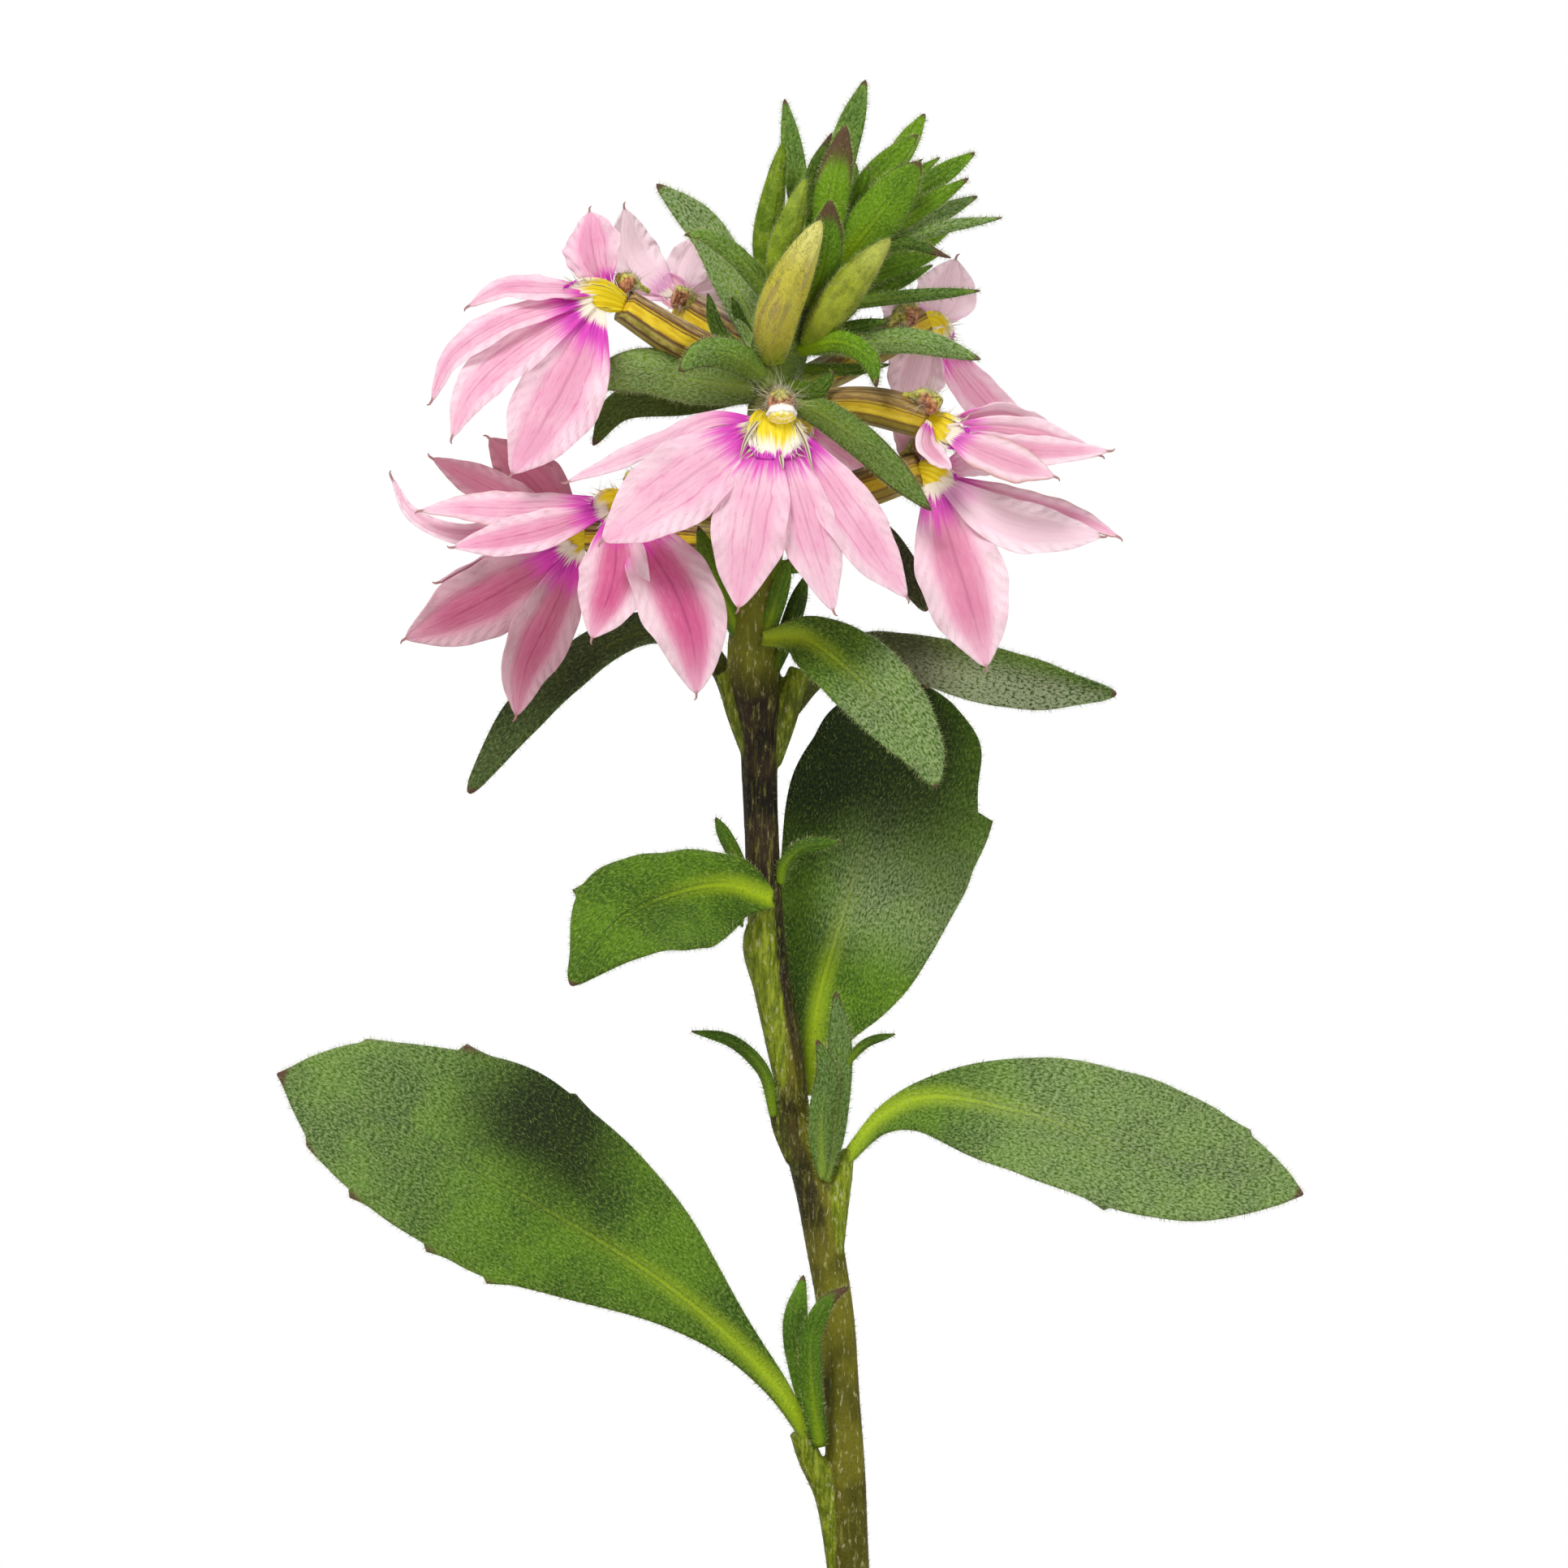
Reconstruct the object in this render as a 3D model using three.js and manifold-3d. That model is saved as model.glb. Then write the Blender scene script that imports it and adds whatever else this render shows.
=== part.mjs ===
// A potted fan flower: one flowering stem with its leaves, buds and open flowers, in a plain clay pot.
// Millimetres, +Z up. The origin is the middle of the pot's underside, and the front faces -Y.
// Every sheet (leaf, bract or petal lobe) is a line of points from root to tip, with the half width on
// each side of it as seen from the front, and a lean that turns it out of the front plane.

import * as THREE from 'three';
import { mergeVertices } from 'three/addons/utils/BufferGeometryUtils.js';
import Module from 'manifold-3d';

const wasm = await Module();
wasm.setup();

// The pot and its soil
const POT_HEIGHT = 80;
const POT_FOOT_RADIUS = 31;
const POT_SHOULDER_RADIUS = 40.4;
const RIM_RADIUS = 46;
const RIM_STEP = 2.6;
const RIM_HEIGHT = 19;
const WALL = 4.6;
const POT_FLOOR = 7;
const DRAIN_RADIUS = 6;
const POT_EDGE = 0.8;
const POT_SIDES = 36;
const SOIL_TOP = 72;
const SOIL_RISE = 1.6;
const SOIL_BUMP = 0.35;
const SOIL_WAVES = [[0.9, 1.7], [1.3, -0.8]];
const SOIL_SIDES = 28;
const SOIL_RINGS = [36, 26, 15, 6];

// The gap between neighbours, and how thick the sheets are
const CLEARANCE = 0.3;
const LEAF_THICKNESS = 0.7;
const BRACT_THICKNESS = 0.65;
const PETAL_THICKNESS = 0.62;

// A leaf's tooth rises over one share of the length and drops over the other. Rings that lie nearer to a
// tooth than this share of a step are left out. Corners closer than the weld distance are one corner.
const TOOTH_RUN = 0.045;
const TOOTH_DROP = 0.012;
const RING_APART = 0.35;
const WELD = 1e-4;

// How finely each kind of piece is divided, round it and along it
const STEM_FACES = [8, 20];
const RIDGE_FACES = [6, 4];
const CORE_FACES = [8, 6];
const BUD_FACES = [7, 6];
const STYLE_FACES = [6, 5];
const TUBE_FACES = [5, 3];
const BRACT_STEPS = 4;
const SHOOT_STEPS = 5;
const LOBE_STEPS = 4;
const THROAT_STEPS = 2;

// Half widths as shares of the widest one, from root to tip, and what the flowers have in common
const BRACT_SHAPE = [0.6, 0.86, 1, 1, 0.8, 0.14];
const LOBE_SHAPE = [0.2, 0.55, 0.86, 1, 0.93, 0.6, 0.08];
const BUD_SHAPE = [0.62, 0.9, 1.03, 1, 0.82, 0.56, 0.22];
const TUBE_RADIUS = [1, 1.3, 1.45, 1.25];
const THROAT_HALF = [0.95, 1.8, 1.9];
const THROAT_CUP = 0.1;
const STYLE_RADIUS = [0.3, 0.36, 0.75, 1.02, 1.08, 1.25];
const SHEET_CUP = 0.12;

// The stem's centre line, from inside the soil to the head, as x, y, z and radius
const STEM = [
  [0.4, 0, 58, 1.3], [0, 0, 76, 1.55], [-0.25, 0, 94, 1.55], [-0.7, 0, 105.5, 1.4], [-1.2, 0, 112.7, 1.35],
  [-1.9, 0, 117.5, 1.4], [-2.4, 0, 120.6, 1.45], [-3.9, 0, 125.9, 1.2], [-4.8, 0, 131.9, 1.2],
  [-5.9, 0, 137.9, 1.3], [-6.5, 0, 143.9, 1.3], [-6.7, 0, 149.9, 1.26], [-6.9, 0, 155.4, 1.4],
  [-7.2, 0, 159.6, 1.9], [-7.2, 0, 163, 1.8], [-6.8, 0, 168, 1.6], [-6.3, 0, 174, 1.7], [-5.8, 0, 180, 1.9],
];

// Ridges that run down the stem from the leaf bases
const STEM_RIDGES = [
  [[-4, -1.1, 104.2, 0.7], [-3.2, -0.8, 102.3, 0.9], [-2, -0.5, 99.3, 0.8], [-1, -0.3, 92, 0.6]],
  [[-0.3, -0.5, 125, 0.5], [-0.8, -0.4, 122.6, 0.8], [-1.2, -0.3, 117.5, 0.6]],
  [[-6.1, -1.3, 143.4, 0.6], [-6.8, -0.9, 140.4, 1.3], [-6.3, -0.8, 136.8, 1], [-5.2, -0.5, 130, 0.6]],
  [[-5.9, -0.5, 129.6, 0.45], [-5.4, -0.5, 126.8, 0.6], [-4.4, -0.4, 124, 0.5]],
  [[-9.6, 0.3, 160.2, 0.5], [-8.6, 0.3, 157.4, 0.8], [-7.4, 0.2, 153.6, 0.6]],
  [[-3.9, 0.4, 160.5, 0.8], [-5, 0.4, 157, 1], [-5.9, 0.3, 153.5, 0.7]],
];

// Small bracts that stand at the top of the stem, below the head
const STEM_BRACTS = [
  { line: [[-8, -0.6, 162.4], [-9.6, -1, 166], [-11.4, -1.2, 171]], half: 0.9, lean: 0 },
  { line: [[-5.8, -0.8, 160.4], [-4.7, -1.2, 163.6], [-3.4, -1.4, 167.4]], half: 0.7, lean: 0.3 },
  { line: [[-6.4, -1.4, 162.6], [-5.6, -1.9, 165.6], [-4.7, -2, 168.6]], half: 0.7, lean: 0.2 },
  { line: [[-6.4, -1, 166.5], [-5.2, -1.4, 168], [-3.9, -1.4, 167.6]], half: 0.5, lean: 0 },
];

// The large leaves. Teeth are given as the share of the length and the height beyond the edge.
const LEAVES = {
  leaf_lower_left: {
    line: [[-2.7, -1, 102.9], [-6, -3, 107.9], [-13.2, -6.4, 114.6], [-24.6, -10.4, 121.8],
      [-36.6, -13, 128.4], [-42.3, -13.8, 130.7]],
    right: [0.4, 0.8, 1.7, 3.6, 5.8, 7, 7.8, 7.8, 6.3, 4.3, 0.3],
    left: [0.5, 0.8, 1.3, 2.4, 3.9, 5.3, 6.6, 6.9, 6.5, 5, 0.3],
    rightTeeth: [[0.6, 0.3], [0.77, 0.6], [0.9, 0.3]],
    leftTeeth: [[0.6, 0.5], [0.7, 0.5], [0.84, 0.6], [0.93, 0.5]],
    lean: -0.45, cup: 0.1, steps: 13,
  },
  leaf_lower_right: {
    line: [[-0.6, -0.6, 124.2], [2.1, -1.8, 127.4], [5.4, -3.2, 128.8], [12.6, -6, 127.7],
      [22.2, -8.8, 124.4], [33.2, -10.2, 121.8]],
    left: [0.4, 0.5, 1.1, 2.6, 4, 4.9, 5.3, 5.1, 4.3, 2.7, 0.3],
    right: [0.5, 1.2, 2.4, 3.6, 4.4, 4.7, 4.7, 4.5, 3.9, 2.5, 0.3],
    leftTeeth: [[0.87, 0.3]],
    rightTeeth: [[0.66, 0.4]],
    lean: 0.45, cup: 0.1, steps: 13,
  },
  leaf_back: {
    line: [[-3.1, 1.4, 129], [-2.7, 3, 134.9], [-1.2, 5.6, 140.6], [1, 8.2, 147.5], [3, 9.8, 153.5],
      [4.4, 10.4, 159.8]],
    left: [0.7, 1.4, 2.3, 3.4, 4.6, 5.6, 6.5, 6.9, 6.3, 5.2, 1.2],
    right: [0.6, 2.1, 4.6, 6.1, 7, 7.6, 8.1, 7.8, 6.6, 5.7, 1.8],
    rightTeeth: [[0.757, 1.2]],
    lean: -0.1, cup: 0.14, steps: 12,
  },
  leaf_middle_left: {
    line: [[-5.9, -1.6, 143.4], [-9, -3.8, 144.4], [-12.5, -6.2, 144], [-17, -9, 141.9],
      [-20.8, -10.4, 137.2]],
    right: [0.6, 1.8, 2.3, 2.7, 3, 3.5, 3.9, 3.7, 2.6, 1.3, 0.3],
    left: [0.6, 1.6, 2.8, 3.7, 4.4, 4.7, 4.5, 3.9, 2.8, 1.5, 0.3],
    rightTeeth: [[0.72, 0.6]],
    leftTeeth: [[0.2, 0.5]],
    lean: -0.6, cup: 0.08, steps: 11,
  },
  leaf_upper_front: {
    line: [[-6.6, -1.9, 162.7], [-3.6, -3.9, 162.7], [-0.6, -6.2, 160.6], [2.4, -8, 157.6],
      [4.9, -9, 154.4], [6.2, -9.2, 151.7]],
    left: [0.5, 1, 1.9, 2.6, 3, 3.1, 3, 2.8, 2.2, 1.5, 0.3],
    right: [0.5, 0.9, 1.8, 2.3, 2.4, 2.5, 2.4, 2.2, 1.8, 1.1, 0.3],
    lean: 0.25, cup: 0.12, steps: 11,
  },
  leaf_upper_right: {
    line: [[-4.9, 1.5, 157], [-2.5, 2.6, 160.2], [0.9, 4.2, 161.9], [3.5, 5.2, 161.7], [8, 5.8, 160.6],
      [14, 6, 159.3], [19.6, 5.6, 158.6]],
    left: [0.6, 0.8, 1, 1.3, 1.6, 1.9, 2.2, 2.1, 1.8, 1.1, 0.3],
    right: [0.6, 0.8, 1, 1.3, 1.6, 1.8, 2.1, 2, 1.7, 1, 0.3],
    lean: -0.5, cup: 0.15, steps: 11,
  },
  leaf_upper_left: {
    line: [[-8.7, 1.3, 157.6], [-9.9, 2.4, 160.6], [-12.6, 4.8, 162.8], [-16, 7.4, 163],
      [-20.5, 9.2, 160.5], [-24.5, 9.8, 156.7], [-28.5, 9.8, 151.3]],
    left: [0.6, 0.6, 0.7, 0.8, 1, 1.2, 1.4, 1.4, 1.3, 0.9, 0.3],
    right: [0.6, 0.7, 0.9, 1.2, 1.5, 1.7, 1.7, 1.6, 1.4, 0.9, 0.3],
    lean: -0.8, cup: 0.15, steps: 11,
  },
  leaf_behind_flower: {
    line: [[-4.7, 1.8, 171.4], [-1.7, 3.6, 171.9], [1.8, 5, 169.8], [4.1, 5.4, 167.2], [5.6, 5.2, 164.8]],
    left: [0.6, 1.1, 1.5, 1.5, 1.1, 0.3],
    right: [0.6, 1.1, 1.5, 1.5, 1.1, 0.3],
    lean: 0.4, cup: 0.15, steps: 8,
  },
};

// Young shoots and leaflets in the leaf axils
const SHOOTS = {
  shoot_low: [
    { line: [[-2.4, -1.5, 103.4], [-3.6, -2.2, 108.4], [-4.2, -2.4, 112], [-3.6, -2.2, 115.7]], half: 1 },
    { line: [[-2.4, -1.8, 103], [-3, -3.1, 107.5], [-3, -3.7, 111.3], [-1.8, -4, 113.8], [-0.2, -3.9, 114.9]],
      half: 0.8 },
  ],
  shoot_right: [
    { line: [[-1.9, -1.4, 122.6], [-1.2, -2, 128], [-0.9, -2.4, 132.5], [-1.2, -2.6, 136.7]], half: 0.95 },
    { line: [[-2.2, -1.6, 122.8], [-2.3, -3, 127.5], [-1.9, -3.5, 130.8], [-2.6, -3.7, 133.1]], half: 0.9 },
    { line: [[-0.9, -2, 130.8], [1, -2.3, 132.8], [3.2, -2.3, 133.5]], half: 0.35 },
  ],
  shoot_left: [
    { line: [[-5.8, -1, 127.4], [-6.4, -1.3, 130.4], [-7.6, -1.5, 132], [-9.2, -1.6, 133.1],
      [-11.9, -1.6, 133.7]], half: 0.5 },
  ],
  leaflet_upper_left: [
    { line: [[-7.9, -0.6, 145.4], [-8.9, -1, 147.2], [-10.1, -1.2, 149.5]], half: 0.55 },
  ],
  leaflet_upper_right: [
    { line: [[-5.3, -1, 144.6], [-5, -1.5, 146], [-3.6, -2, 147.3], [-0.9, -2.2, 147.7]], half: 0.55 },
  ],
};

// The head's growing tip, as x, y, z and radius
const HEAD_CORE = [
  [-5.8, 0, 180.6, 1.8], [-5.5, 0, 183.5, 2.1], [-4.4, 0, 187, 2.2], [-2.6, 0.2, 190.2, 1.9],
  [-0.4, 0.4, 193, 1.4], [1.8, 0.6, 195.2, 0.8],
];

// Bracts of the head, from its crown down to its lowest ring, and the hidden ones at its back
const HEAD_BRACTS = [
  { line: [[-3.2, 0.8, 189.6], [-4, 2.6, 196], [-5, 3.8, 202.7]], half: 0.85 },
  { line: [[-1.9, 0.8, 190.8], [-1, 2, 197.5], [1, 2.8, 204.1]], half: 1.1 },
  { line: [[-2.6, -0.6, 188.8], [-1.7, -2.6, 194.5], [-0.5, -3.4, 200.6]], half: 1.3 },
  { line: [[-2.5, 0.2, 190], [-3, -0.6, 196.6], [-1.5, -1.2, 200.1]], half: 0.55 },
  { line: [[-3.8, -0.8, 186], [-2.2, -3.8, 190.5], [-1.6, -5.4, 195]], half: 1.3 },
  { line: [[0.2, 0.6, 193], [3.2, 2.6, 198], [5.4, 4.2, 201.6]], half: 0.9 },
  { line: [[-1.6, 0.2, 190.9], [1.4, 0.2, 196.6], [4.9, 0.2, 200]], half: 0.95 },
  { line: [[-1.8, -0.4, 189.4], [1.8, -2.8, 193.8], [5, -4.4, 197.9]], half: 1.75 },
  { line: [[0.2, 0.6, 192.4], [5.4, 1.8, 196.2], [9.1, 2.6, 198.7]], half: 0.85 },
  { line: [[-1, 0, 190.9], [4.6, -1.6, 194.2], [8.6, -2.8, 196.7]], half: 0.7 },
  { line: [[-1.6, 0.8, 190.2], [4.6, 3.2, 193.3], [9.3, 4.6, 195.5]], half: 0.8 },
  { line: [[-1.4, -0.4, 189.8], [5.6, -1.6, 192.8], [11.1, -2.4, 193.8]], half: 0.5 },
  { line: [[-1.6, 0, 189.4], [3.6, -2, 191.9], [7.3, -3.6, 190.8]], half: 0.45 },
  { line: [[-2, 0.8, 188.2], [2.8, 2, 190.2], [6.5, 2.8, 191.2]], half: 0.8 },
  { line: [[-2.6, 1, 187.4], [1.8, 3.4, 188.4], [6, 4.8, 190.4]], half: 0.55 },
  { line: [[-3, -0.4, 187], [3.2, -1.4, 187.9], [9.5, -2.2, 188.4]], half: 0.5 },
  { line: [[-4, -0.6, 184.2], [0.7, -2.4, 184.6], [5, -3.4, 184.6], [9.5, -3.6, 183.3]], half: 0.95 },
  { line: [[-4.4, -1, 184], [-0.9, -4.6, 184.6], [1.2, -6.2, 183.4], [1.8, -6.8, 181.2]], half: 0.85 },
  { line: [[-3.8, -0.6, 185], [-0.6, -2.4, 185.6], [2.8, -3.2, 186.2]], half: 0.5 },
  { line: [[-4.6, 0.8, 182.8], [0, 1.4, 182.6], [2.8, 1.4, 183]], half: 0.45 },
  { line: [[-6, 0.6, 183], [-8.8, 2.4, 189], [-10.8, 3.4, 192.9], [-14.5, 4, 196.4]], half: 1.4 },
  { line: [[-4.8, -0.8, 186.4], [-8.6, -2.8, 191], [-10.8, -3.8, 192.4], [-12.4, -4.2, 192.5]], half: 0.75 },
  { line: [[-6, -1, 181.8], [-9, -4, 183.6], [-11.1, -5, 183.7], [-12.8, -5.2, 182.4]], half: 1.15 },
  { line: [[-6.2, -0.6, 181.2], [-11.4, -2.2, 181.7], [-15.4, -2.8, 182.5], [-20, -2.8, 181.6]], half: 1.75 },
  { line: [[-6.2, 0.8, 181.4], [-12, 2.4, 180.6], [-17.2, 3.2, 179.9], [-19.2, 3.2, 177]], half: 1.3 },
  { line: [[-6.2, 0.8, 183], [-9.7, 1.6, 185.2], [-10.7, 1.9, 188.3]], half: 0.55 },
  { line: [[-6, 0.8, 183.8], [-8, 1.5, 185.8], [-8.9, 1.7, 188]], half: 0.45 },
  { line: [[-5.2, -1, 180.8], [-1.6, -5, 178.9], [0.9, -6.6, 177], [3.3, -7.6, 174.7], [5.8, -7.8, 172.1]],
    half: 1.2 },
  { line: [[-5.2, -1, 181.2], [-2.8, -3.2, 178.9], [-0.9, -4, 178.6]], half: 0.45 },
  { line: [[-5.2, -1, 181.6], [-2.8, -3.6, 181], [-1.3, -4, 182.4]], half: 0.7 },
  { line: [[-0.6, 0.2, 192.4], [0.6, -1, 195.6], [1.2, -1.6, 197.6]], half: 0.5 },
  { line: [[0.6, 0.4, 193.6], [3.6, 0.2, 196.2], [6.5, 0.2, 198.3]], half: 0.45 },
  { line: [[0.6, 0.8, 193.6], [3, 1.4, 196.2], [5.2, 2, 198.2]], half: 0.45 },
  { line: [[-4.8, 1, 184.8], [-6.2, 4.6, 188.6], [-6.4, 7, 192.2]], half: 1.1 },
  { line: [[-4, 1, 186.4], [-3.4, 4.4, 191.4], [-3.4, 6.4, 196.4]], half: 1.3 },
  { line: [[-2.6, 1, 188.6], [-0.8, 4.2, 193.4], [0.2, 6, 198]], half: 1.2 },
  { line: [[-2.8, 1, 188], [1, 5, 190.6], [3.4, 7.4, 194.2]], half: 1.2 },
  { line: [[-4, 1, 185.4], [-0.8, 5, 187.4], [1.2, 8, 190.8]], half: 1.1 },
  { line: [[-5.2, 1, 182.8], [-5, 5.6, 184.4], [-5.2, 9, 187.4]], half: 1.1 },
  { line: [[-1.8, 0.8, 189.6], [4, 4.4, 191.6], [7.4, 7.4, 193.2]], half: 0.8 },
];

// Closed buds, club shaped, from root to tip
const BUDS = {
  bud_1: { line: [[-5.6, 0.4, 187], [-6.3, 0.4, 191.6], [-5.8, 0.4, 195.6], [-5.1, 0.6, 199.4]], radius: 1 },
  bud_2: { line: [[-4.8, -1, 186.4], [-5.2, -2.6, 190.6], [-4.4, -2.9, 193.8], [-3.4, -2.8, 196.7]],
    radius: 1.05 },
  bud_3: { line: [[-5.9, -1.6, 183.4], [-5.5, -4.2, 186.6], [-3.9, -5.6, 190.4], [-2.3, -6, 193.5]],
    radius: 1.55 },
  bud_4: { line: [[-3.2, -1.6, 184.6], [-1.5, -3.8, 187.1], [0.8, -4.8, 190], [2.8, -4.8, 192.2]],
    radius: 1.3 },
};

// Open flowers: the tube from the head to its mouth, the throat, the hairy cup of the style above it,
// and five lobes, each with its line from the throat to the tip
const FLOWERS = {
  front: {
    tube: [[-5.7, -1.4, 180], [-5.7, -5.2, 180], [-5.6, -8.8, 179.2]],
    throat: [[-5.6, -8.4, 179.4], [-5.7, -9.8, 178.6], [-5.7, -10.7, 175.8]],
    style: [[-5.5, -6.2, 180.7], [-5.35, -8.4, 180.5], [-5.25, -9.9, 179.9], [-5.2, -10.5, 178.6]],
    mouth: 1.1,
    lobes: [
      { line: [[-6.2, -9.4, 178.5], [-10.2, -9.6, 178.8], [-14, -9.6, 177.1], [-21, -8.4, 174.2]], half: 0.8,
        lean: -1.2 },
      { line: [[-6.8, -9.8, 178.2], [-12.6, -11.6, 174.1], [-18.4, -11.6, 169.8]], half: 3.1, lean: -0.15 },
      { line: [[-6, -10, 177.6], [-7.4, -12, 171.6], [-8.4, -11.6, 164.9]], half: 2.8, lean: -0.1 },
      { line: [[-5.2, -10, 177.6], [-3.5, -11.6, 171.6], [-1.4, -11.2, 164.7]], half: 2.1, lean: 0.15 },
      { line: [[-4.4, -9.8, 178], [-0.3, -11, 171.9], [2, -11, 168.4], [4, -10.6, 165.7]], half: 2.15,
        lean: 0.25 },
    ],
  },
  upper_left: {
    tube: [[-6.4, 0, 183], [-9.4, -0.4, 183.4], [-12.6, -1.8, 184.7], [-16.8, -3.6, 187.3]],
    throat: [[-16.8, -3.7, 187.4], [-18.8, -4.8, 188], [-21.4, -5.5, 187.8]],
    style: [[-15, -2.6, 188.3], [-16.4, -3.2, 189], [-17.2, -3.9, 188.9]],
    mouth: 0.7,
    cup: 0.7,
    lobes: [
      { line: [[-18.2, -4, 188.4], [-19, -3.6, 191], [-19.4, -2.4, 194.2]], half: 2.1, lean: 0.6 },
      { line: [[-18.8, -4.6, 188.2], [-22.6, -5.8, 188.5], [-26, -6, 188.4], [-28.3, -5.6, 187.2]], half: 0.9,
        lean: -1.3 },
      { line: [[-19.2, -5, 187.8], [-25.4, -7.2, 186.1], [-29.4, -8, 183.4], [-31, -7.8, 180.2]], half: 1.1,
        lean: -0.9 },
      { line: [[-19.2, -5.2, 187.4], [-24.6, -7.6, 184], [-28, -8.8, 180.8], [-29.5, -8.4, 177.5]],
        half: 1.8,
        lean: -0.4 },
      { line: [[-18.8, -5, 187], [-20.7, -7, 182.4], [-23, -8.2, 178.2], [-25.1, -8, 174.8]], half: 3.2,
        lean: 0.1 },
    ],
  },
  back_left: {
    tube: [[-5.8, 1.6, 183.8], [-8.8, 4.4, 185.2], [-12.4, 7.4, 187.4]],
    throat: [[-12.2, 7.2, 187.4], [-13, 8.4, 188.2], [-14, 9.4, 189.4]],
    style: [[-11.2, 6, 186.8], [-12.2, 6, 187.8], [-13.3, 5.8, 188.2]],
    mouth: 0.6,
    cup: 0.8,
    lobes: [
      { line: [[-13.3, 8.6, 188.2], [-16.2, 10.4, 191.2], [-16.9, 10, 194.7]], half: 1.9, lean: -0.2 },
      { line: [[-12.8, 8.6, 188.2], [-12, 10.4, 190.6], [-11, 10.2, 192.6]], half: 1.7, lean: 0.2 },
      { line: [[-12.6, 8.4, 187.8], [-9.8, 9.8, 186.8], [-7.6, 9.6, 183.4]], half: 1.6, lean: 0.3 },
      { line: [[-13, 8.4, 188], [-16, 10, 188.8], [-19.6, 9.8, 188.8]], half: 1.1, lean: -0.5 },
      { line: [[-12.4, 8.6, 188], [-10, 10.8, 188.9], [-7.2, 10.8, 190]], half: 1.5, lean: 0.5 },
    ],
  },
  back_right: {
    tube: [[-4.4, 1.2, 181.4], [-1.4, 3.2, 182.6], [1.6, 4.2, 184.4], [5.2, 6, 186.3]],
    throat: [[5, 5.8, 186.3], [6, 6.8, 185.8], [6.8, 7.4, 184.4]],
    style: [[2.6, 3.2, 186], [3.6, 3.2, 186.7], [4.8, 3.6, 186.7]],
    mouth: 0.7,
    cup: 0.8,
    lobes: [
      { line: [[5.8, 6.8, 185.8], [7, 8.4, 188.4], [7.7, 8.8, 190.9]], half: 2.3, lean: 0 },
      { line: [[6, 7, 185.4], [8.5, 8.2, 181.8], [11.2, 8, 179], [14.5, 7.4, 176.8]], half: 1.6, lean: 0.2 },
      { line: [[5.8, 6.8, 185.2], [4.9, 8.2, 182.6], [3.8, 8, 179.8]], half: 2.2, lean: -0.2 },
      { line: [[5.4, 7, 185.8], [4, 10, 187], [2.4, 12.6, 187.8]], half: 1.3, lean: -0.6 },
      { line: [[5.6, 7, 185.2], [4.4, 10.2, 184.6], [2.4, 12.8, 184.2]], half: 1.3, lean: 0.4 },
    ],
  },
  right: {
    tube: [[-4, -1.4, 180], [1.6, -3, 179.8], [5.6, -4.2, 178.7]],
    throat: [[5.4, -4.2, 179], [6.9, -5, 178.1], [8.4, -5.6, 177.2]],
    style: [[3.8, -3.8, 180.7], [5.2, -4.7, 180.5], [6.3, -5.3, 179.7]],
    mouth: 0.65,
    cup: 0.75,
    lobes: [
      { line: [[7, -5, 178.2], [12.2, -6.2, 177.7], [18.2, -6.2, 176.2]], half: 1.5, lean: -0.3 },
      { line: [[7.2, -5.2, 178], [12.6, -6.8, 176.6], [18.9, -6.8, 176.5]], half: 1.1, lean: 0.4 },
      { line: [[7, -5.4, 177.6], [11.2, -7.6, 175.8], [14.9, -7.8, 174.6]], half: 1.5, lean: 0.5 },
      { line: [[5.6, -5.2, 178.7], [5.6, -6.9, 176.8], [7.3, -7.6, 175.1]], half: 0.85, lean: 0.8 },
      { line: [[6.8, -4.6, 178.6], [11, -3.2, 178.9], [15.5, -1.8, 177.6]], half: 1.3, lean: -0.8 },
    ],
  },
  lower_right: {
    tube: [[-5, 0.6, 171.8], [-0.6, -0.6, 173.3], [5, -2, 175.2]],
    throat: [[4.8, -2, 175.2], [6, -2.6, 174.8], [7.4, -3, 173.8]],
    style: [[3.6, -1, 176.2], [4.7, -1.4, 176.9], [5.7, -2, 176.8]],
    mouth: 0.65,
    cup: 0.7,
    lobes: [
      { line: [[6, -2.8, 174.2], [7.5, -4.4, 169], [8.8, -4.6, 164.8], [9.9, -4, 160.6]], half: 3.25,
        lean: 0.1 },
      { line: [[6.4, -2.8, 174.4], [11.5, -4.6, 171.2], [18.4, -4.2, 170.2]], half: 1.9, lean: 0.2 },
      { line: [[6.4, -2.6, 174.6], [12.6, -3.4, 172.6], [17.4, -3.6, 171.2], [19.6, -4, 170.2]], half: 1.1,
        lean: 0.7 },
      { line: [[6.2, -2.2, 175], [9.6, -0.6, 176.2], [13.4, 0.2, 176.4]], half: 1.3, lean: -0.8 },
      { line: [[6, -2.2, 174.8], [4.6, -0.4, 176.6], [3.1, 0.8, 178.2]], half: 1.2, lean: 0.6 },
    ],
  },
  left: {
    tube: [[-7.2, -1.2, 172], [-12, -3.6, 172.6], [-16.8, -5.2, 172.8]],
    throat: [[-16.6, -5.2, 172.8], [-17.8, -5.8, 172.6], [-19, -6.4, 171.8]],
    style: [[-14.6, -4.2, 173.6], [-15.6, -4.8, 174.4], [-16.5, -5.6, 174.2]],
    mouth: 0.65,
    cup: 0.7,
    lobes: [
      { line: [[-18, -5.4, 172.2], [-25, -5, 170.8], [-29.4, -5, 170.4], [-32.6, -5.4, 172],
        [-34, -5.6, 174.6]], half: 0.8, lean: -0.6 },
      { line: [[-18, -5.8, 172.8], [-24.5, -6.4, 172.2], [-28.8, -6.6, 172.3], [-31.8, -6.4, 172.1]],
        half: 1.25,
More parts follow.
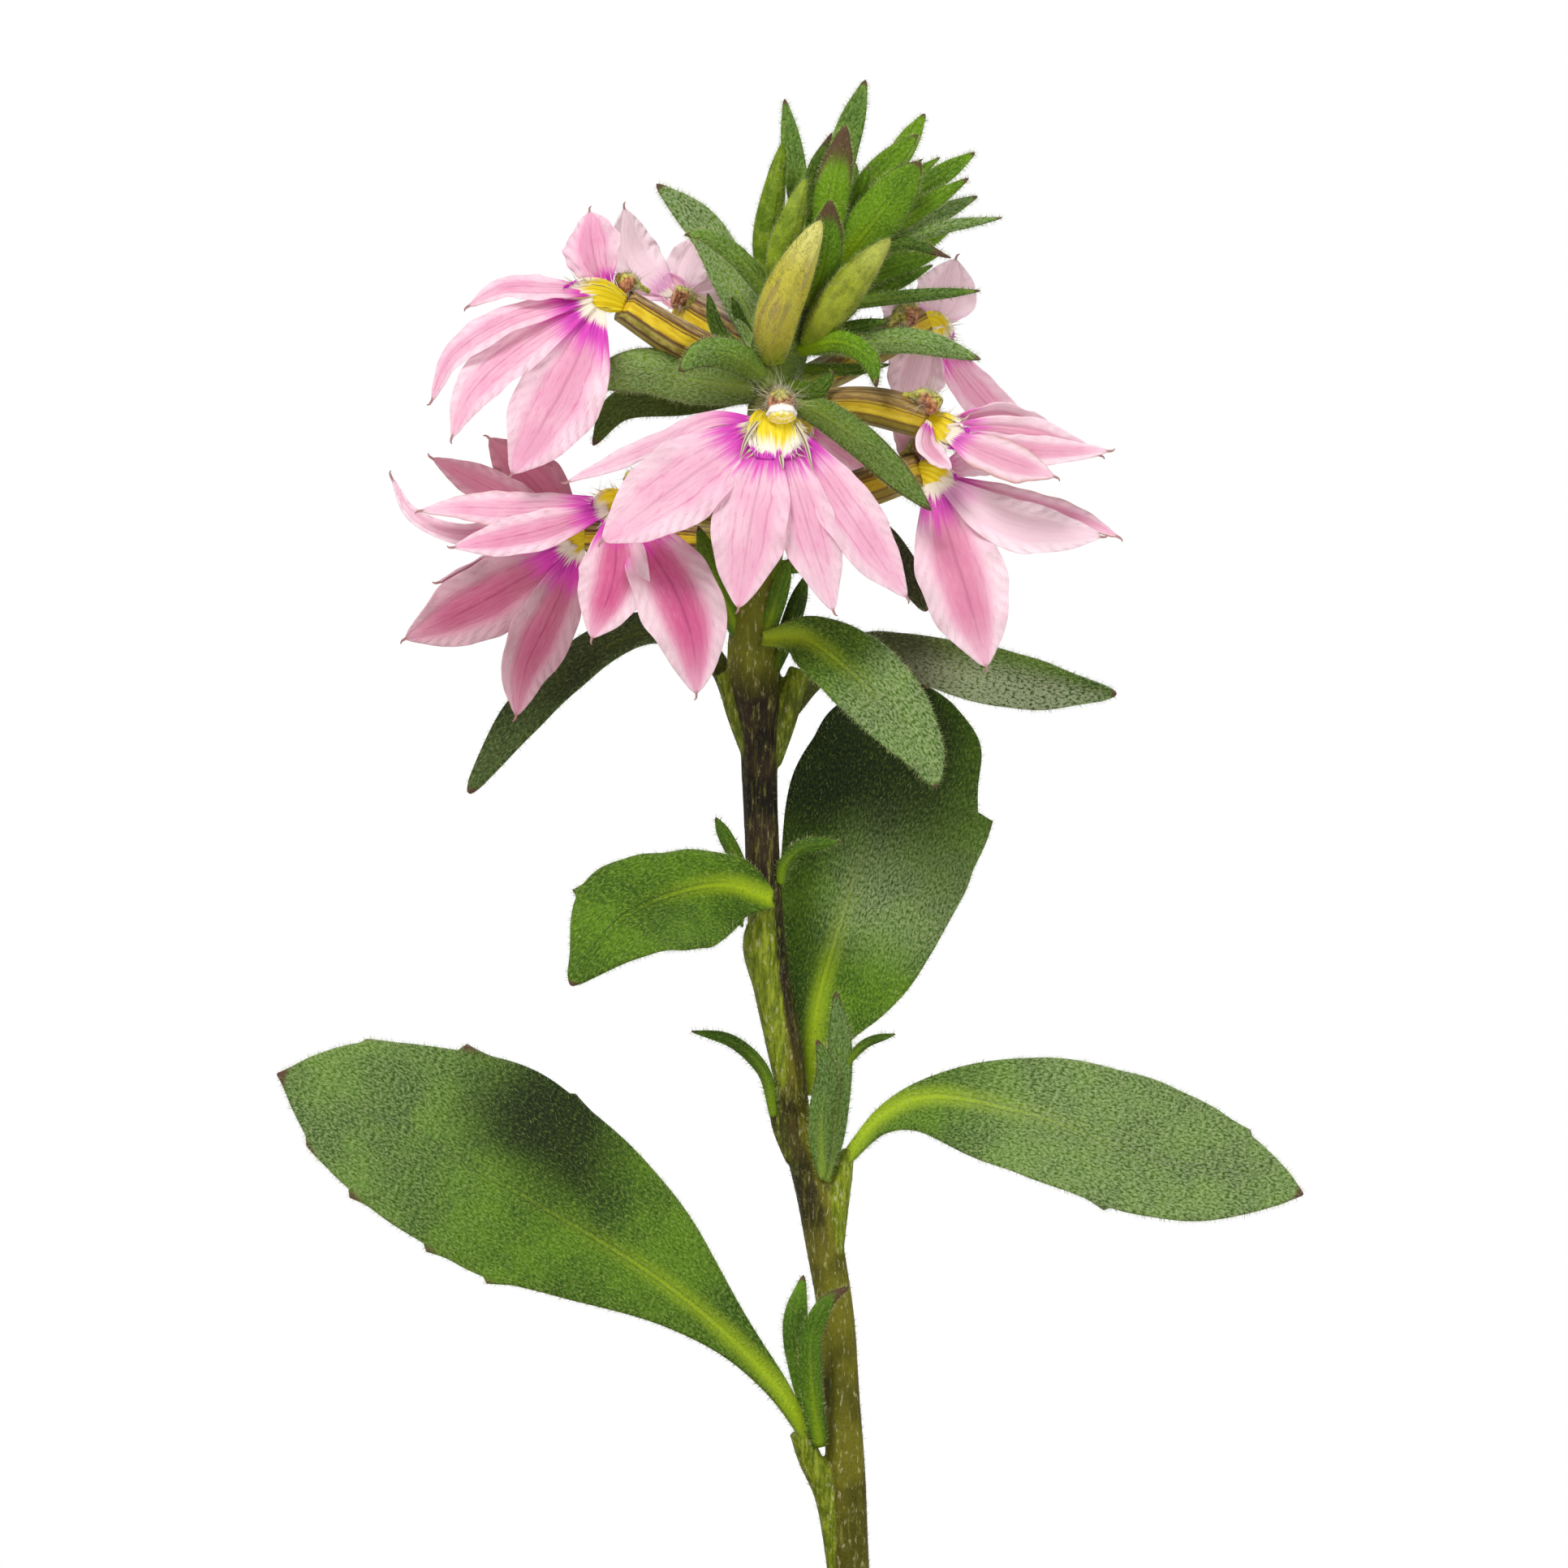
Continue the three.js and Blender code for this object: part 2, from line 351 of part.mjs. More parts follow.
        lean: -0.6 },
      { line: [[-18, -6.2, 172.2], [-24, -7.6, 170.4], [-29.4, -7.4, 169.4]], half: 1.5, lean: -0.2 },
      { line: [[-17.4, -6.2, 172], [-17.6, -8.2, 167], [-19.2, -8.4, 162.7]], half: 2.6, lean: -0.1 },
      { line: [[-17, -6.2, 172], [-13.3, -8.4, 166.6], [-11.8, -8.6, 162.4], [-11.5, -8, 158.6]], half: 3.1,
        lean: 0.15 },
    ],
  },
  lower_left: {
    tube: [[-8, 1, 170], [-14, 2.6, 170.2], [-19.6, 3.6, 170.2]],
    throat: [[-19.4, 3.6, 170.2], [-20.6, 4, 170], [-21.8, 4.4, 169.2]],
    style: [[-17.4, 4, 171.2], [-18.6, 4.6, 172], [-19.6, 4.4, 172.2]],
    mouth: 0.55,
    cup: 0.8,
    lobes: [
      { line: [[-20.6, 4.2, 170.4], [-26.8, 5.8, 173.8], [-31.1, 6, 176.1]], half: 1.5, lean: -0.3 },
      { line: [[-20.2, 4.2, 170.6], [-23.6, 6.4, 174.4], [-26.9, 6.8, 177.6]], half: 2.2, lean: 0.2 },
      { line: [[-20.8, 4, 169.8], [-26.4, 4.6, 168.4], [-30.6, 4.6, 166.9]], half: 0.8, lean: 0.8 },
      { line: [[-20.6, 4, 169.6], [-27.2, 4.8, 165.6], [-33.1, 4.4, 162.7]], half: 2.8, lean: 0.2 },
      { line: [[-20.2, 4, 169.6], [-22.4, 5, 164.4], [-24.2, 5, 160.6], [-24.9, 4.4, 157]], half: 2.3,
        lean: 0.2 },
    ],
  },
  back: {
    tube: [[-5.4, 1.6, 180], [-5, 5.4, 180.2], [-4.7, 8.8, 179.6]],
    throat: [[-4.7, 8.6, 179.6], [-4.7, 9.8, 178.6], [-4.7, 10.2, 176.8]],
    style: [[-4.9, 6.4, 181.2], [-4.8, 8, 181.4], [-4.7, 9.4, 181]],
    mouth: 1,
    lobes: [
      { line: [[-5.6, 9.6, 178.8], [-9, 10.2, 178], [-12.2, 9.6, 176.2]], half: 1.2, lean: 0.8 },
      { line: [[-5.4, 9.9, 178.4], [-8.4, 11.8, 174.6], [-10.8, 11.8, 171]], half: 2.1, lean: 0.2 },
      { line: [[-4.9, 10, 178], [-5.8, 12, 173], [-6.4, 11.8, 168.2]], half: 2.2, lean: 0 },
      { line: [[-4.4, 9.9, 178.2], [-3, 11.6, 173.4], [-1.8, 11.4, 169]], half: 2, lean: -0.2 },
      { line: [[-4, 9.6, 178.8], [-0.4, 10.6, 177], [3, 10.4, 174.6]], half: 1.6, lean: -0.6 },
    ],
  },
};

function material(color, roughness) {
  return new THREE.MeshStandardMaterial({ color, roughness, metalness: 0 });
}

const CLAY = material('#b5683f', 0.85);
const SOIL = material('#3a2a1f', 0.95);
const STEM_GREEN = material('#6b6a33', 0.7);
const LEAF_GREEN = material('#4a7a2c', 0.55);
const SHOOT_GREEN = material('#5b8a32', 0.6);
const BRACT_GREEN = material('#5c8f1a', 0.6);
const BUD_GREEN = material('#a9b24a', 0.65);
const PETAL_PINK = material('#f4b6d1', 0.55);
const STYLE_TAN = material('#b08a50', 0.75);

function vector([x, y, z]) {
  return new THREE.Vector3(x, y, z);
}

function lineThrough(points) {
  return new THREE.CatmullRomCurve3(points.map(vector), false, 'centripetal');
}

// A smooth value at a share of the way through a list of numbers
function along(values, share) {
  if (values.length === 1) return values[0];
  const curve = new THREE.CatmullRomCurve3(values.map((value) => new THREE.Vector3(value, 0, 0)));
  curve.curveType = 'catmullrom';
  return curve.getPoint(share).x;
}

// A closed mesh from rings of equal length, with a flat cap at each end
function closedRings(rings) {
  const count = rings[0].length;
  const positions = rings.flat().flatMap((corner) => corner.toArray());
  const index = [];
  for (let ring = 0; ring + 1 < rings.length; ring += 1) {
    for (let side = 0; side < count; side += 1) {
      const here = ring * count + side;
      const next = ring * count + ((side + 1) % count);
      index.push(here, next, next + count, here, next + count, here + count);
    }
  }
  const last = (rings.length - 1) * count;
  for (let side = 1; side + 1 < count; side += 1) {
    index.push(0, side + 1, side, last, last + side, last + side + 1);
  }
  const geometry = new THREE.BufferGeometry();
  geometry.setAttribute('position', new THREE.Float32BufferAttribute(positions, 3));
  geometry.setIndex(index);
  return geometry;
}

// A round stalk along a line, with radii spread over its points
function stalkGeometry(points, radii, [sides, steps], margin) {
  const curve = lineThrough(points);
  const { normals, binormals } = curve.computeFrenetFrames(steps, false);
  const rings = [];
  for (let step = 0; step <= steps; step += 1) {
    const share = step / steps;
    const centre = curve.getPointAt(share);
    const radius = along(radii, curve.getUtoTmapping(share)) + margin;
    const ring = [];
    for (let side = 0; side < sides; side += 1) {
      const angle = (2 * Math.PI * side) / sides;
      ring.push(centre.clone()
        .addScaledVector(normals[step], radius * Math.cos(angle))
        .addScaledVector(binormals[step], radius * Math.sin(angle)));
    }
    rings.push(ring);
  }
  return closedRings(rings);
}

// How far the teeth stand out at a share of the length: each rises slowly and drops at its point
function toothHeight(teeth, share) {
  let height = 0;
  for (const [place, size] of teeth) {
    if (share > place - TOOTH_RUN && share <= place) height = size * (share - place + TOOTH_RUN) / TOOTH_RUN;
  }
  return height;
}

function bladeShares(steps, teeth) {
  const shares = Array.from({ length: steps + 1 }, (_, step) => step / steps);
  const extra = teeth.flatMap(([place]) => [place - TOOTH_RUN, place, place + TOOTH_DROP]);
  const kept = shares.filter((share) => extra.every((other) => Math.abs(other - share) > RING_APART / steps));
  return [...new Set([...kept, ...extra, 0, 1])].sort((a, b) => a - b);
}

// A thin sheet along a line. Both faces are split into triangles alike.
function bladeGeometry(blade, thickness, margin) {
  const { line, half, steps, lean = 0, cup = SHEET_CUP } = blade;
  const left = blade.left ?? BRACT_SHAPE.map((share) => share * half);
  const right = blade.right ?? left;
  const leftTeeth = blade.leftTeeth ?? [];
  const rightTeeth = blade.rightTeeth ?? [];
  const curve = lineThrough(line);
  const rise = thickness / 2 + margin;
  const shares = bladeShares(steps, [...leftTeeth, ...rightTeeth]);
  const rings = shares.map((share) => {
    const tangent = curve.getTangentAt(share);
    const centre = curve.getPointAt(share);
    if (share === 0) centre.addScaledVector(tangent, -margin);
    if (share === 1) centre.addScaledVector(tangent, margin);
    const side = new THREE.Vector3(tangent.z, 0, -tangent.x).normalize();
    const front = side.clone().cross(tangent).normalize();
    const across = side.clone().addScaledVector(front, lean);
    const up = across.clone().cross(tangent).normalize();
    const leftHalf = along(left, share) + toothHeight(leftTeeth, share) + margin;
    const rightHalf = along(right, share) + toothHeight(rightTeeth, share) + margin;
    const leftEdge = centre.clone().addScaledVector(across, -leftHalf).addScaledVector(up, cup * leftHalf);
    const rightEdge = centre.clone().addScaledVector(across, rightHalf).addScaledVector(up, cup * rightHalf);
    const upper = [leftEdge, centre, rightEdge].map((corner) => corner.clone().addScaledVector(up, rise));
    const under = [rightEdge, centre, leftEdge].map((corner) => corner.clone().addScaledVector(up, -rise));
    return [...upper, ...under];
  });
  return sheetFromRings(rings);
}

// The rings of a sheet hold three corners on its face and three on its back
function sheetFromRings(rings) {
  const positions = rings.flat().flatMap((corner) => corner.toArray());
  const index = [];
  for (let ring = 0; ring + 1 < rings.length; ring += 1) {
    for (let side = 0; side < 6; side += 1) {
      const here = ring * 6 + side;
      const next = ring * 6 + ((side + 1) % 6);
      const mirrored = side === 3 || side === 4;
      if (mirrored) index.push(here, next, here + 6, next, next + 6, here + 6);
      else index.push(here, next, next + 6, here, next + 6, here + 6);
    }
  }
  const last = (rings.length - 1) * 6;
  for (const [a, b, c] of [[0, 5, 1], [1, 5, 4], [1, 4, 3], [1, 3, 2]]) {
    index.push(a, b, c, last + a, last + c, last + b);
  }
  const geometry = new THREE.BufferGeometry();
  geometry.setAttribute('position', new THREE.Float32BufferAttribute(positions, 3));
  geometry.setIndex(index);
  return geometry;
}

function toSolid(geometry) {
  const bare = geometry.clone();
  bare.deleteAttribute('normal');
  bare.deleteAttribute('uv');
  const merged = mergeVertices(bare, WELD);
  const mesh = new wasm.Mesh({
    numProp: 3,
    vertProperties: Float32Array.from(merged.attributes.position.array),
    triVerts: Uint32Array.from(merged.index.array),
  });
  return new wasm.Manifold(mesh);
}

function toGeometry(solid) {
  const { vertProperties, triVerts } = solid.getMesh();
  const geometry = new THREE.BufferGeometry();
  geometry.setAttribute('position', new THREE.BufferAttribute(vertProperties, 3));
  geometry.setIndex(new THREE.BufferAttribute(triVerts, 1));
  geometry.computeVertexNormals();
  return geometry;
}

function fuse(solids) {
  return solids.reduce((whole, solid) => whole.add(solid));
}

function largestBody(solid) {
  return solid.decompose().reduce((best, body) => (body.volume() > best.volume() ? body : best));
}

function boxesMeet(first, second) {
  return [0, 1, 2].every((axis) => first.min[axis] < second.max[axis] && second.min[axis] < first.max[axis]);
}

const plant = new THREE.Group();
const placed = [];

// Adds a piece, made by a function that takes a margin. It is cut clear of the pieces placed before it.
function addPiece(name, finish, make) {
  let solid = make(0);
  for (const other of placed) {
    if (boxesMeet(solid.boundingBox(), other.grown.boundingBox())) solid = solid.subtract(other.grown);
  }
  const mesh = new THREE.Mesh(toGeometry(largestBody(solid)), finish);
  mesh.name = name;
  plant.add(mesh);
  placed.push({ grown: make(CLEARANCE) });
}

// Inner radius of the pot at a height, on the straight line from floor to rim
function potInside(height) {
  const foot = POT_FOOT_RADIUS - WALL;
  const top = RIM_RADIUS - WALL;
  return foot + (top - foot) * (height - POT_FLOOR) / (POT_HEIGHT - POT_FLOOR);
}

function makePot() {
  const shoulder = POT_HEIGHT - RIM_HEIGHT;
  const profile = [
    [DRAIN_RADIUS, 0], [POT_FOOT_RADIUS - POT_EDGE, 0], [POT_FOOT_RADIUS, POT_EDGE],
    [POT_SHOULDER_RADIUS, shoulder], [POT_SHOULDER_RADIUS + RIM_STEP, shoulder + POT_EDGE],
    [RIM_RADIUS, POT_HEIGHT - POT_EDGE], [RIM_RADIUS - POT_EDGE, POT_HEIGHT],
    [RIM_RADIUS - WALL + POT_EDGE, POT_HEIGHT], [potInside(POT_HEIGHT - POT_EDGE), POT_HEIGHT - POT_EDGE],
    [potInside(POT_FLOOR), POT_FLOOR], [DRAIN_RADIUS, POT_FLOOR], [DRAIN_RADIUS, 0],
  ].map(([radius, height]) => new THREE.Vector2(radius, height));
  const pot = new THREE.LatheGeometry(profile, POT_SIDES).rotateX(Math.PI / 2);
  return toSolid(pot);
}

// The soil's upper face rises to the middle and is roughened by a formula
function makeSoil() {
  const edge = potInside(SOIL_TOP) - 2 * CLEARANCE;
  const profile = [
    [0, POT_FLOOR + CLEARANCE], [potInside(POT_FLOOR) - 2 * CLEARANCE, POT_FLOOR + CLEARANCE],
    [edge, SOIL_TOP],
    ...SOIL_RINGS.map((radius) => [radius, SOIL_TOP + SOIL_RISE * (1 - radius / edge)]),
    [0, SOIL_TOP + SOIL_RISE],
  ].map(([radius, height]) => new THREE.Vector2(radius, height));
  const soil = new THREE.LatheGeometry(profile, SOIL_SIDES).rotateX(Math.PI / 2);
  const position = soil.attributes.position;
  for (let corner = 0; corner < position.count; corner += 1) {
    const [x, y, z] = [position.getX(corner), position.getY(corner), position.getZ(corner)];
    const onFace = z > SOIL_TOP;
    const bump = SOIL_WAVES.reduce((sum, [alongX, alongY]) => sum + Math.sin(alongX * x + alongY * y), 0);
    if (onFace) position.setZ(corner, z + SOIL_BUMP * bump);
  }
  return toSolid(soil);
}

function stalkThrough(rows, faces, margin) {
  return toSolid(stalkGeometry(rows, rows.map((row) => row[3]), faces, margin));
}

function makeBracts(bracts, steps, margin) {
  return bracts.map((bract) => toSolid(bladeGeometry({ ...bract, steps }, BRACT_THICKNESS, margin)));
}

function makeStem(margin) {
  const ridges = STEM_RIDGES.map((rows) => stalkThrough(rows, RIDGE_FACES, margin));
  const bracts = makeBracts(STEM_BRACTS, BRACT_STEPS, margin);
  return fuse([stalkThrough(STEM, STEM_FACES, margin), ...ridges, ...bracts]);
}

function makeHead(margin) {
  const bracts = makeBracts(HEAD_BRACTS, BRACT_STEPS, margin);
  return fuse([stalkThrough(HEAD_CORE, CORE_FACES, margin), ...bracts]);
}

function makeBud({ line, radius }, margin) {
  return toSolid(stalkGeometry(line, BUD_SHAPE.map((share) => share * radius), BUD_FACES, margin));
}

function makeStyle({ style, cup = 1 }, margin) {
  return toSolid(stalkGeometry(style, STYLE_RADIUS.map((radius) => radius * cup), STYLE_FACES, margin));
}

function makeLobe({ line, half, lean }, margin) {
  const widths = LOBE_SHAPE.map((share) => share * half);
  const lobe = { line, lean, left: widths, right: widths, steps: LOBE_STEPS };
  return toSolid(bladeGeometry(lobe, PETAL_THICKNESS, margin));
}

function makeCorolla({ tube, throat, mouth, lobes }, margin) {
  const widths = THROAT_HALF.map((half) => half * mouth);
  const sheet = { line: throat, left: widths, right: widths, cup: THROAT_CUP, steps: THROAT_STEPS };
  return fuse([
    toSolid(stalkGeometry(tube, TUBE_RADIUS, TUBE_FACES, margin)),
    toSolid(bladeGeometry(sheet, PETAL_THICKNESS, margin)),
    ...lobes.map((lobe) => makeLobe(lobe, margin)),
  ]);
}

const pot = new THREE.Mesh(toGeometry(makePot()), CLAY);
pot.name = 'pot';
plant.add(pot);

addPiece('stem', STEM_GREEN, makeStem);
addPiece('soil', SOIL, makeSoil);
addPiece('head', BRACT_GREEN, makeHead);
for (const [name, bud] of Object.entries(BUDS)) {
  addPiece(name, BUD_GREEN, (margin) => makeBud(bud, margin));
}
for (const [name, leaf] of Object.entries(LEAVES)) {
  addPiece(name, LEAF_GREEN, (margin) => toSolid(bladeGeometry(leaf, LEAF_THICKNESS, margin)));
}
for (const [name, blades] of Object.entries(SHOOTS)) {
  addPiece(name, SHOOT_GREEN, (margin) => fuse(makeBracts(blades, SHOOT_STEPS, margin)));
}
for (const [place, flower] of Object.entries(FLOWERS)) {
  addPiece(`style_${place}`, STYLE_TAN, (margin) => makeStyle(flower, margin));
}
for (const [place, flower] of Object.entries(FLOWERS)) {
  addPiece(`corolla_${place}`, PETAL_PINK, (margin) => makeCorolla(flower, margin));
}

export default plant;
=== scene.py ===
# %% [markdown]
# # A potted fan flower
# One upright flowering stem of a pink fan flower stands in the soil of a plain clay pot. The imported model
# already holds every piece at its real size and place. Here each piece gets its living form: thin sheets
# with veins, waves and teeth, fine hairs, and finishes that change over the surface.

import math

import bmesh
import bpy
import numpy as np
from mathutils import Matrix, Vector


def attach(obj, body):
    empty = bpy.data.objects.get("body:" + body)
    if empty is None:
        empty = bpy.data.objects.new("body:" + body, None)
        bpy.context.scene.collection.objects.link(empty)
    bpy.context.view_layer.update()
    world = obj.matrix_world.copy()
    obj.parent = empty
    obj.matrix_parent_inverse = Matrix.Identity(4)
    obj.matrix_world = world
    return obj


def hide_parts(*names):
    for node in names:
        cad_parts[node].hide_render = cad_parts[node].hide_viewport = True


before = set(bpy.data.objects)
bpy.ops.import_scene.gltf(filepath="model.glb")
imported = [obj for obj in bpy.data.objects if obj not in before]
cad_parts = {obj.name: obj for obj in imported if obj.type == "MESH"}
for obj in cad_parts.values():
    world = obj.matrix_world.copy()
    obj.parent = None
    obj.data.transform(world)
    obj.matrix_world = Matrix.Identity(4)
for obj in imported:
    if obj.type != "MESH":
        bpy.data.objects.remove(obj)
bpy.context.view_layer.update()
BODY = "root"
MM = 0.001

# %% [markdown]
# ## Camera
# The plant was seen level and from far away, so that near and far petals keep the same scale. A long lens
# at 2.4 metres does that. The view is 116 mm wide at the stem, and its lower edge cuts the stem above the
# pot.

# %% Camera
VIEW_X = -5.04
VIEW_Z = 151.96
VIEW_WIDTH = 115.92
CAMERA_DISTANCE = 2400
SENSOR_WIDTH = 36

lens_data = bpy.data.cameras.new("camera")
lens_data.lens = SENSOR_WIDTH * CAMERA_DISTANCE / VIEW_WIDTH
camera = bpy.data.objects.new("camera", lens_data)
camera.location = (VIEW_X * MM, -CAMERA_DISTANCE * MM, VIEW_Z * MM)
camera.rotation_euler = (math.pi / 2, 0, 0)
bpy.context.collection.objects.link(camera)
bpy.context.scene.camera = camera
bpy.context.scene.view_settings.view_transform = "Standard"
print("lens", round(lens_data.lens), "mm")

# %% [markdown]
# ## Floor
# The pot stands on a pale disc, small enough that the level camera doesn't see its edge.

# %% Floor
FLOOR_RADIUS = 1.2
FLOOR_DROP = 0.00005
FLOOR_SIDES = 96

floor_mesh = bpy.data.meshes.new("floor")
disc = bmesh.new()
bmesh.ops.create_circle(disc, cap_ends=True, segments=FLOOR_SIDES, radius=FLOOR_RADIUS)
disc.to_mesh(floor_mesh)
disc.free()
floor_mesh.transform(Matrix.Translation((0, 0, -FLOOR_DROP)))
floor = bpy.data.objects.new("floor", floor_mesh)
bpy.context.collection.objects.link(floor)
print("floor", FLOOR_RADIUS, "m in radius")

# %% [markdown]
# ## Light
# A studio shot on white has light from all sides and one large soft lamp above the front. The world gives
# the even part. Its camera rays are pure white, and its other rays are dimmer, so that the lamps can
# still model the forms. A weaker lamp fills the shadows from the right, and one behind lights the edges.

# %% Light
AMBIENT = 0.44
AIM = (-5 * MM, 0, 165 * MM)
LAMPS = {
    "key_lamp": dict(place=(-0.5, -1.0, 1.3), size=0.5, watts=19),
    "fill_lamp": dict(place=(0.9, -1.2, 0.4), size=0.8, watts=6),
    "back_lamp": dict(place=(0.35, 0.9, 1.0), size=0.6, watts=6),
}


def make_world():
    """White for the camera, and a dimmer white as light."""
    world = bpy.data.worlds.new("studio")
    world.use_nodes = True
    nodes, links = world.node_tree.nodes, world.node_tree.links
    nodes.clear()
    seen, light = nodes.new("ShaderNodeBackground"), nodes.new("ShaderNodeBackground")
    light.inputs["Strength"].default_value = AMBIENT
    for background in (seen, light):
        background.inputs["Color"].default_value = (1, 1, 1, 1)
    path, mix = nodes.new("ShaderNodeLightPath"), nodes.new("ShaderNodeMixShader")
    links.new(path.outputs["Is Camera Ray"], mix.inputs[0])
    links.new(light.outputs[0], mix.inputs[1])
    links.new(seen.outputs[0], mix.inputs[2])
    links.new(mix.outputs[0], nodes.new("ShaderNodeOutputWorld").inputs["Surface"])
    bpy.context.scene.world = world


def soft_lamp(name, place, size, watts):
    """A square area lamp that faces the flowers and isn't seen by the camera."""
    data = bpy.data.lights.new(name, "AREA")
    data.shape = "SQUARE"
    data.size = size
    data.energy = watts
    lamp = bpy.data.objects.new(name, data)
    lamp.location = place
    aim = Vector(AIM) - lamp.location
    lamp.rotation_euler = aim.to_track_quat("-Z", "Y").to_euler()
    lamp.visible_camera = False
    bpy.context.collection.objects.link(lamp)


make_world()
for name, lamp in LAMPS.items():
    soft_lamp(name, **lamp)
print("world and", len(LAMPS), "lamps")

# %% [markdown]
# ## Smooth lines
# A leaf, a petal and a stem all follow a line from root to tip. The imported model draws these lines
# through a few points with a centripetal spline, which never loops between close points. The same spline
# is used here, so the fine pieces lie exactly where their plain solids lie. Widths follow a plain spline
# through a few values.

# %% Smooth lines
LINE_STEPS = 200


def unit(vectors):
    return vectors / np.maximum(np.linalg.norm(vectors, axis=-1, keepdims=True), 1e-12)


def spline_ends(values):
    """The values with one more at each end, straight on."""
    return np.concatenate([[2 * values[0] - values[1]], values, [2 * values[-1] - values[-2]]])


def eased(start, end, leave, arrive, t):
    """The way from a start to an end, with the rates at which it leaves the one and arrives at the other."""
    square = 3 * (end - start) - 2 * leave - arrive
    return start + leave * t + square * t**2 + (2 * (start - end) + leave + arrive) * t**3


def smooth_line(points, shares):
    """Places, headings and the line's own parameter at shares of its length, and the length."""
    points = np.array(points, float)
    knots = spline_ends(points)
    gaps = np.sqrt(np.linalg.norm(np.diff(knots, axis=0), axis=1))
    params = np.linspace(0, 1, LINE_STEPS + 1)
    spots = params * (len(points) - 1)
    part = np.minimum(spots.astype(int), len(points) - 2)
    t = (spots - part)[:, None]
    p0, p1, p2, p3 = (knots[part + step] for step in range(4))
    d0, d1, d2 = (gaps[part + step][:, None] for step in range(3))
    leave = ((p1 - p0) / d0 - (p2 - p0) / (d0 + d1) + (p2 - p1) / d1) * d1
    arrive = ((p2 - p1) / d1 - (p3 - p1) / (d1 + d2) + (p3 - p2) / d2) * d1
    places = eased(p1, p2, leave, arrive, t)
    lengths = np.concatenate([[0], np.cumsum(np.linalg.norm(np.diff(places, axis=0), axis=1))])
    wanted = np.interp(np.asarray(shares) * lengths[-1], lengths, params)
    centre, heading = (np.stack([np.interp(wanted, params, grid[:, axis]) for axis in range(3)], axis=1)
                       for grid in (places, np.gradient(places, axis=0)))
    return centre, unit(heading), wanted, lengths[-1]


def spread(values, shares):
    """A smooth value at shares of the way through a list of numbers."""
    values = np.array(values, float)
    knots = spline_ends(values)
    spots = np.clip(shares, 0, 1) * (len(values) - 1)
    part = np.minimum(spots.astype(int), len(values) - 2)
    p0, p1, p2, p3 = (knots[part + step] for step in range(4))
    return eased(p1, p2, (p2 - p0) / 2, (p3 - p1) / 2, spots - part)


print("length of a test line", round(smooth_line([[0, 0, 0], [0, 0, 5], [0, 3, 9]], [0, 1])[3], 3), "mm")

# %% [markdown]
# ## Numbers that change over a surface
# Stain, hairiness and look may be plain numbers or follow a rule, a function of how far across (u) and
# how far along (v) a corner lies. A soft step, from 0 to 1, is the brush that most of these rules are
# painted with.

# %% Numbers that change over a surface
def smooth_step(values, start, end):
    share = np.clip((values - start) / (end - start), 0, 1)
    return share * share * (3 - 2 * share)


def number_at(rule, u, v, *more):
    """A number for each corner, from a plain number or from a rule."""
    return rule(u, v, *more) if callable(rule) else rule + 0.0 * u


def looks_at(look, u, v):
    """Three look numbers for each corner, from three numbers or from a rule."""
    numbers = look(u, v) if callable(look) else look
    return np.stack([np.full_like(u, 1.0) * number for number in numbers], axis=-1)


def band_faces(bands, ring):
    """Four-cornered faces between rings of corners, each ring closed on itself."""
    start = np.arange(bands)[:, None] * ring
    here = (start + np.arange(ring)).ravel()
    following = (start + (np.arange(ring) + 1) % ring).ravel()
    return np.stack([here, following, following + ring, here + ring], axis=1).tolist()


print("half way up a soft step is", smooth_step(0.5, 0, 1))

# %% [markdown]
# ## Thin sheets
# A sheet is two grids of corners, a front and a back, that share their edge corners, so it is closed all
# round and has a rounded rim. Each corner also carries what the finishes and hairs need to know: how far
# across and along it lies, how wide the sheet is there, how stained and how hairy it is, and which way
# hairs lie.

# %% Thin sheets
RIM_POWER = 12
CUP_POWER = 1.35
TOOTH_RUN = 0.045
TOOTH_POWER = 1.4
TIP_CROWDING = 1.3
TIP_ROUND = 0.04
TIP_LEAST = 0.0004
THINNEST = 0.015
HAIR_FAN = 0.4
RIM_HAIR_FAN = 1.3
SHADE_FUR_LOSS = 0.75
NO_TEETH = ((), ())


def tooth_height(teeth, along):
    """Each tooth rises slowly along the edge and drops at its point. Its third number, if any, is its run."""
    height = np.zeros_like(along)
    for place, size, *own_run in teeth:
        run = own_run[0] if own_run else TOOTH_RUN
        rise = np.clip((along - place + run) / run, 0, 1) ** TOOTH_POWER
        height = np.maximum(height, size * rise * (along <= place + 1e-6))
    return height


def all_round(front, back):
    """The front's values from left to right and the back's from right to left, ring after ring."""
    return np.concatenate([front, back[:, -2:0:-1]], axis=1).reshape(-1, front.shape[-1])


def sheet_faces(steps_along, steps_across):
    """Faces round a sheet, and rows of faces that close its two ends."""
    ring = 2 * steps_across
    faces = band_faces(steps_along, ring)
    last = steps_along * ring
    for step in range(steps_across):
        end = [step, (ring - step) % ring, ring - step - 1, step + 1]
        faces.append(list(dict.fromkeys(end)))
        faces.append(list(dict.fromkeys(last + corner for corner in reversed(end))))
    return faces


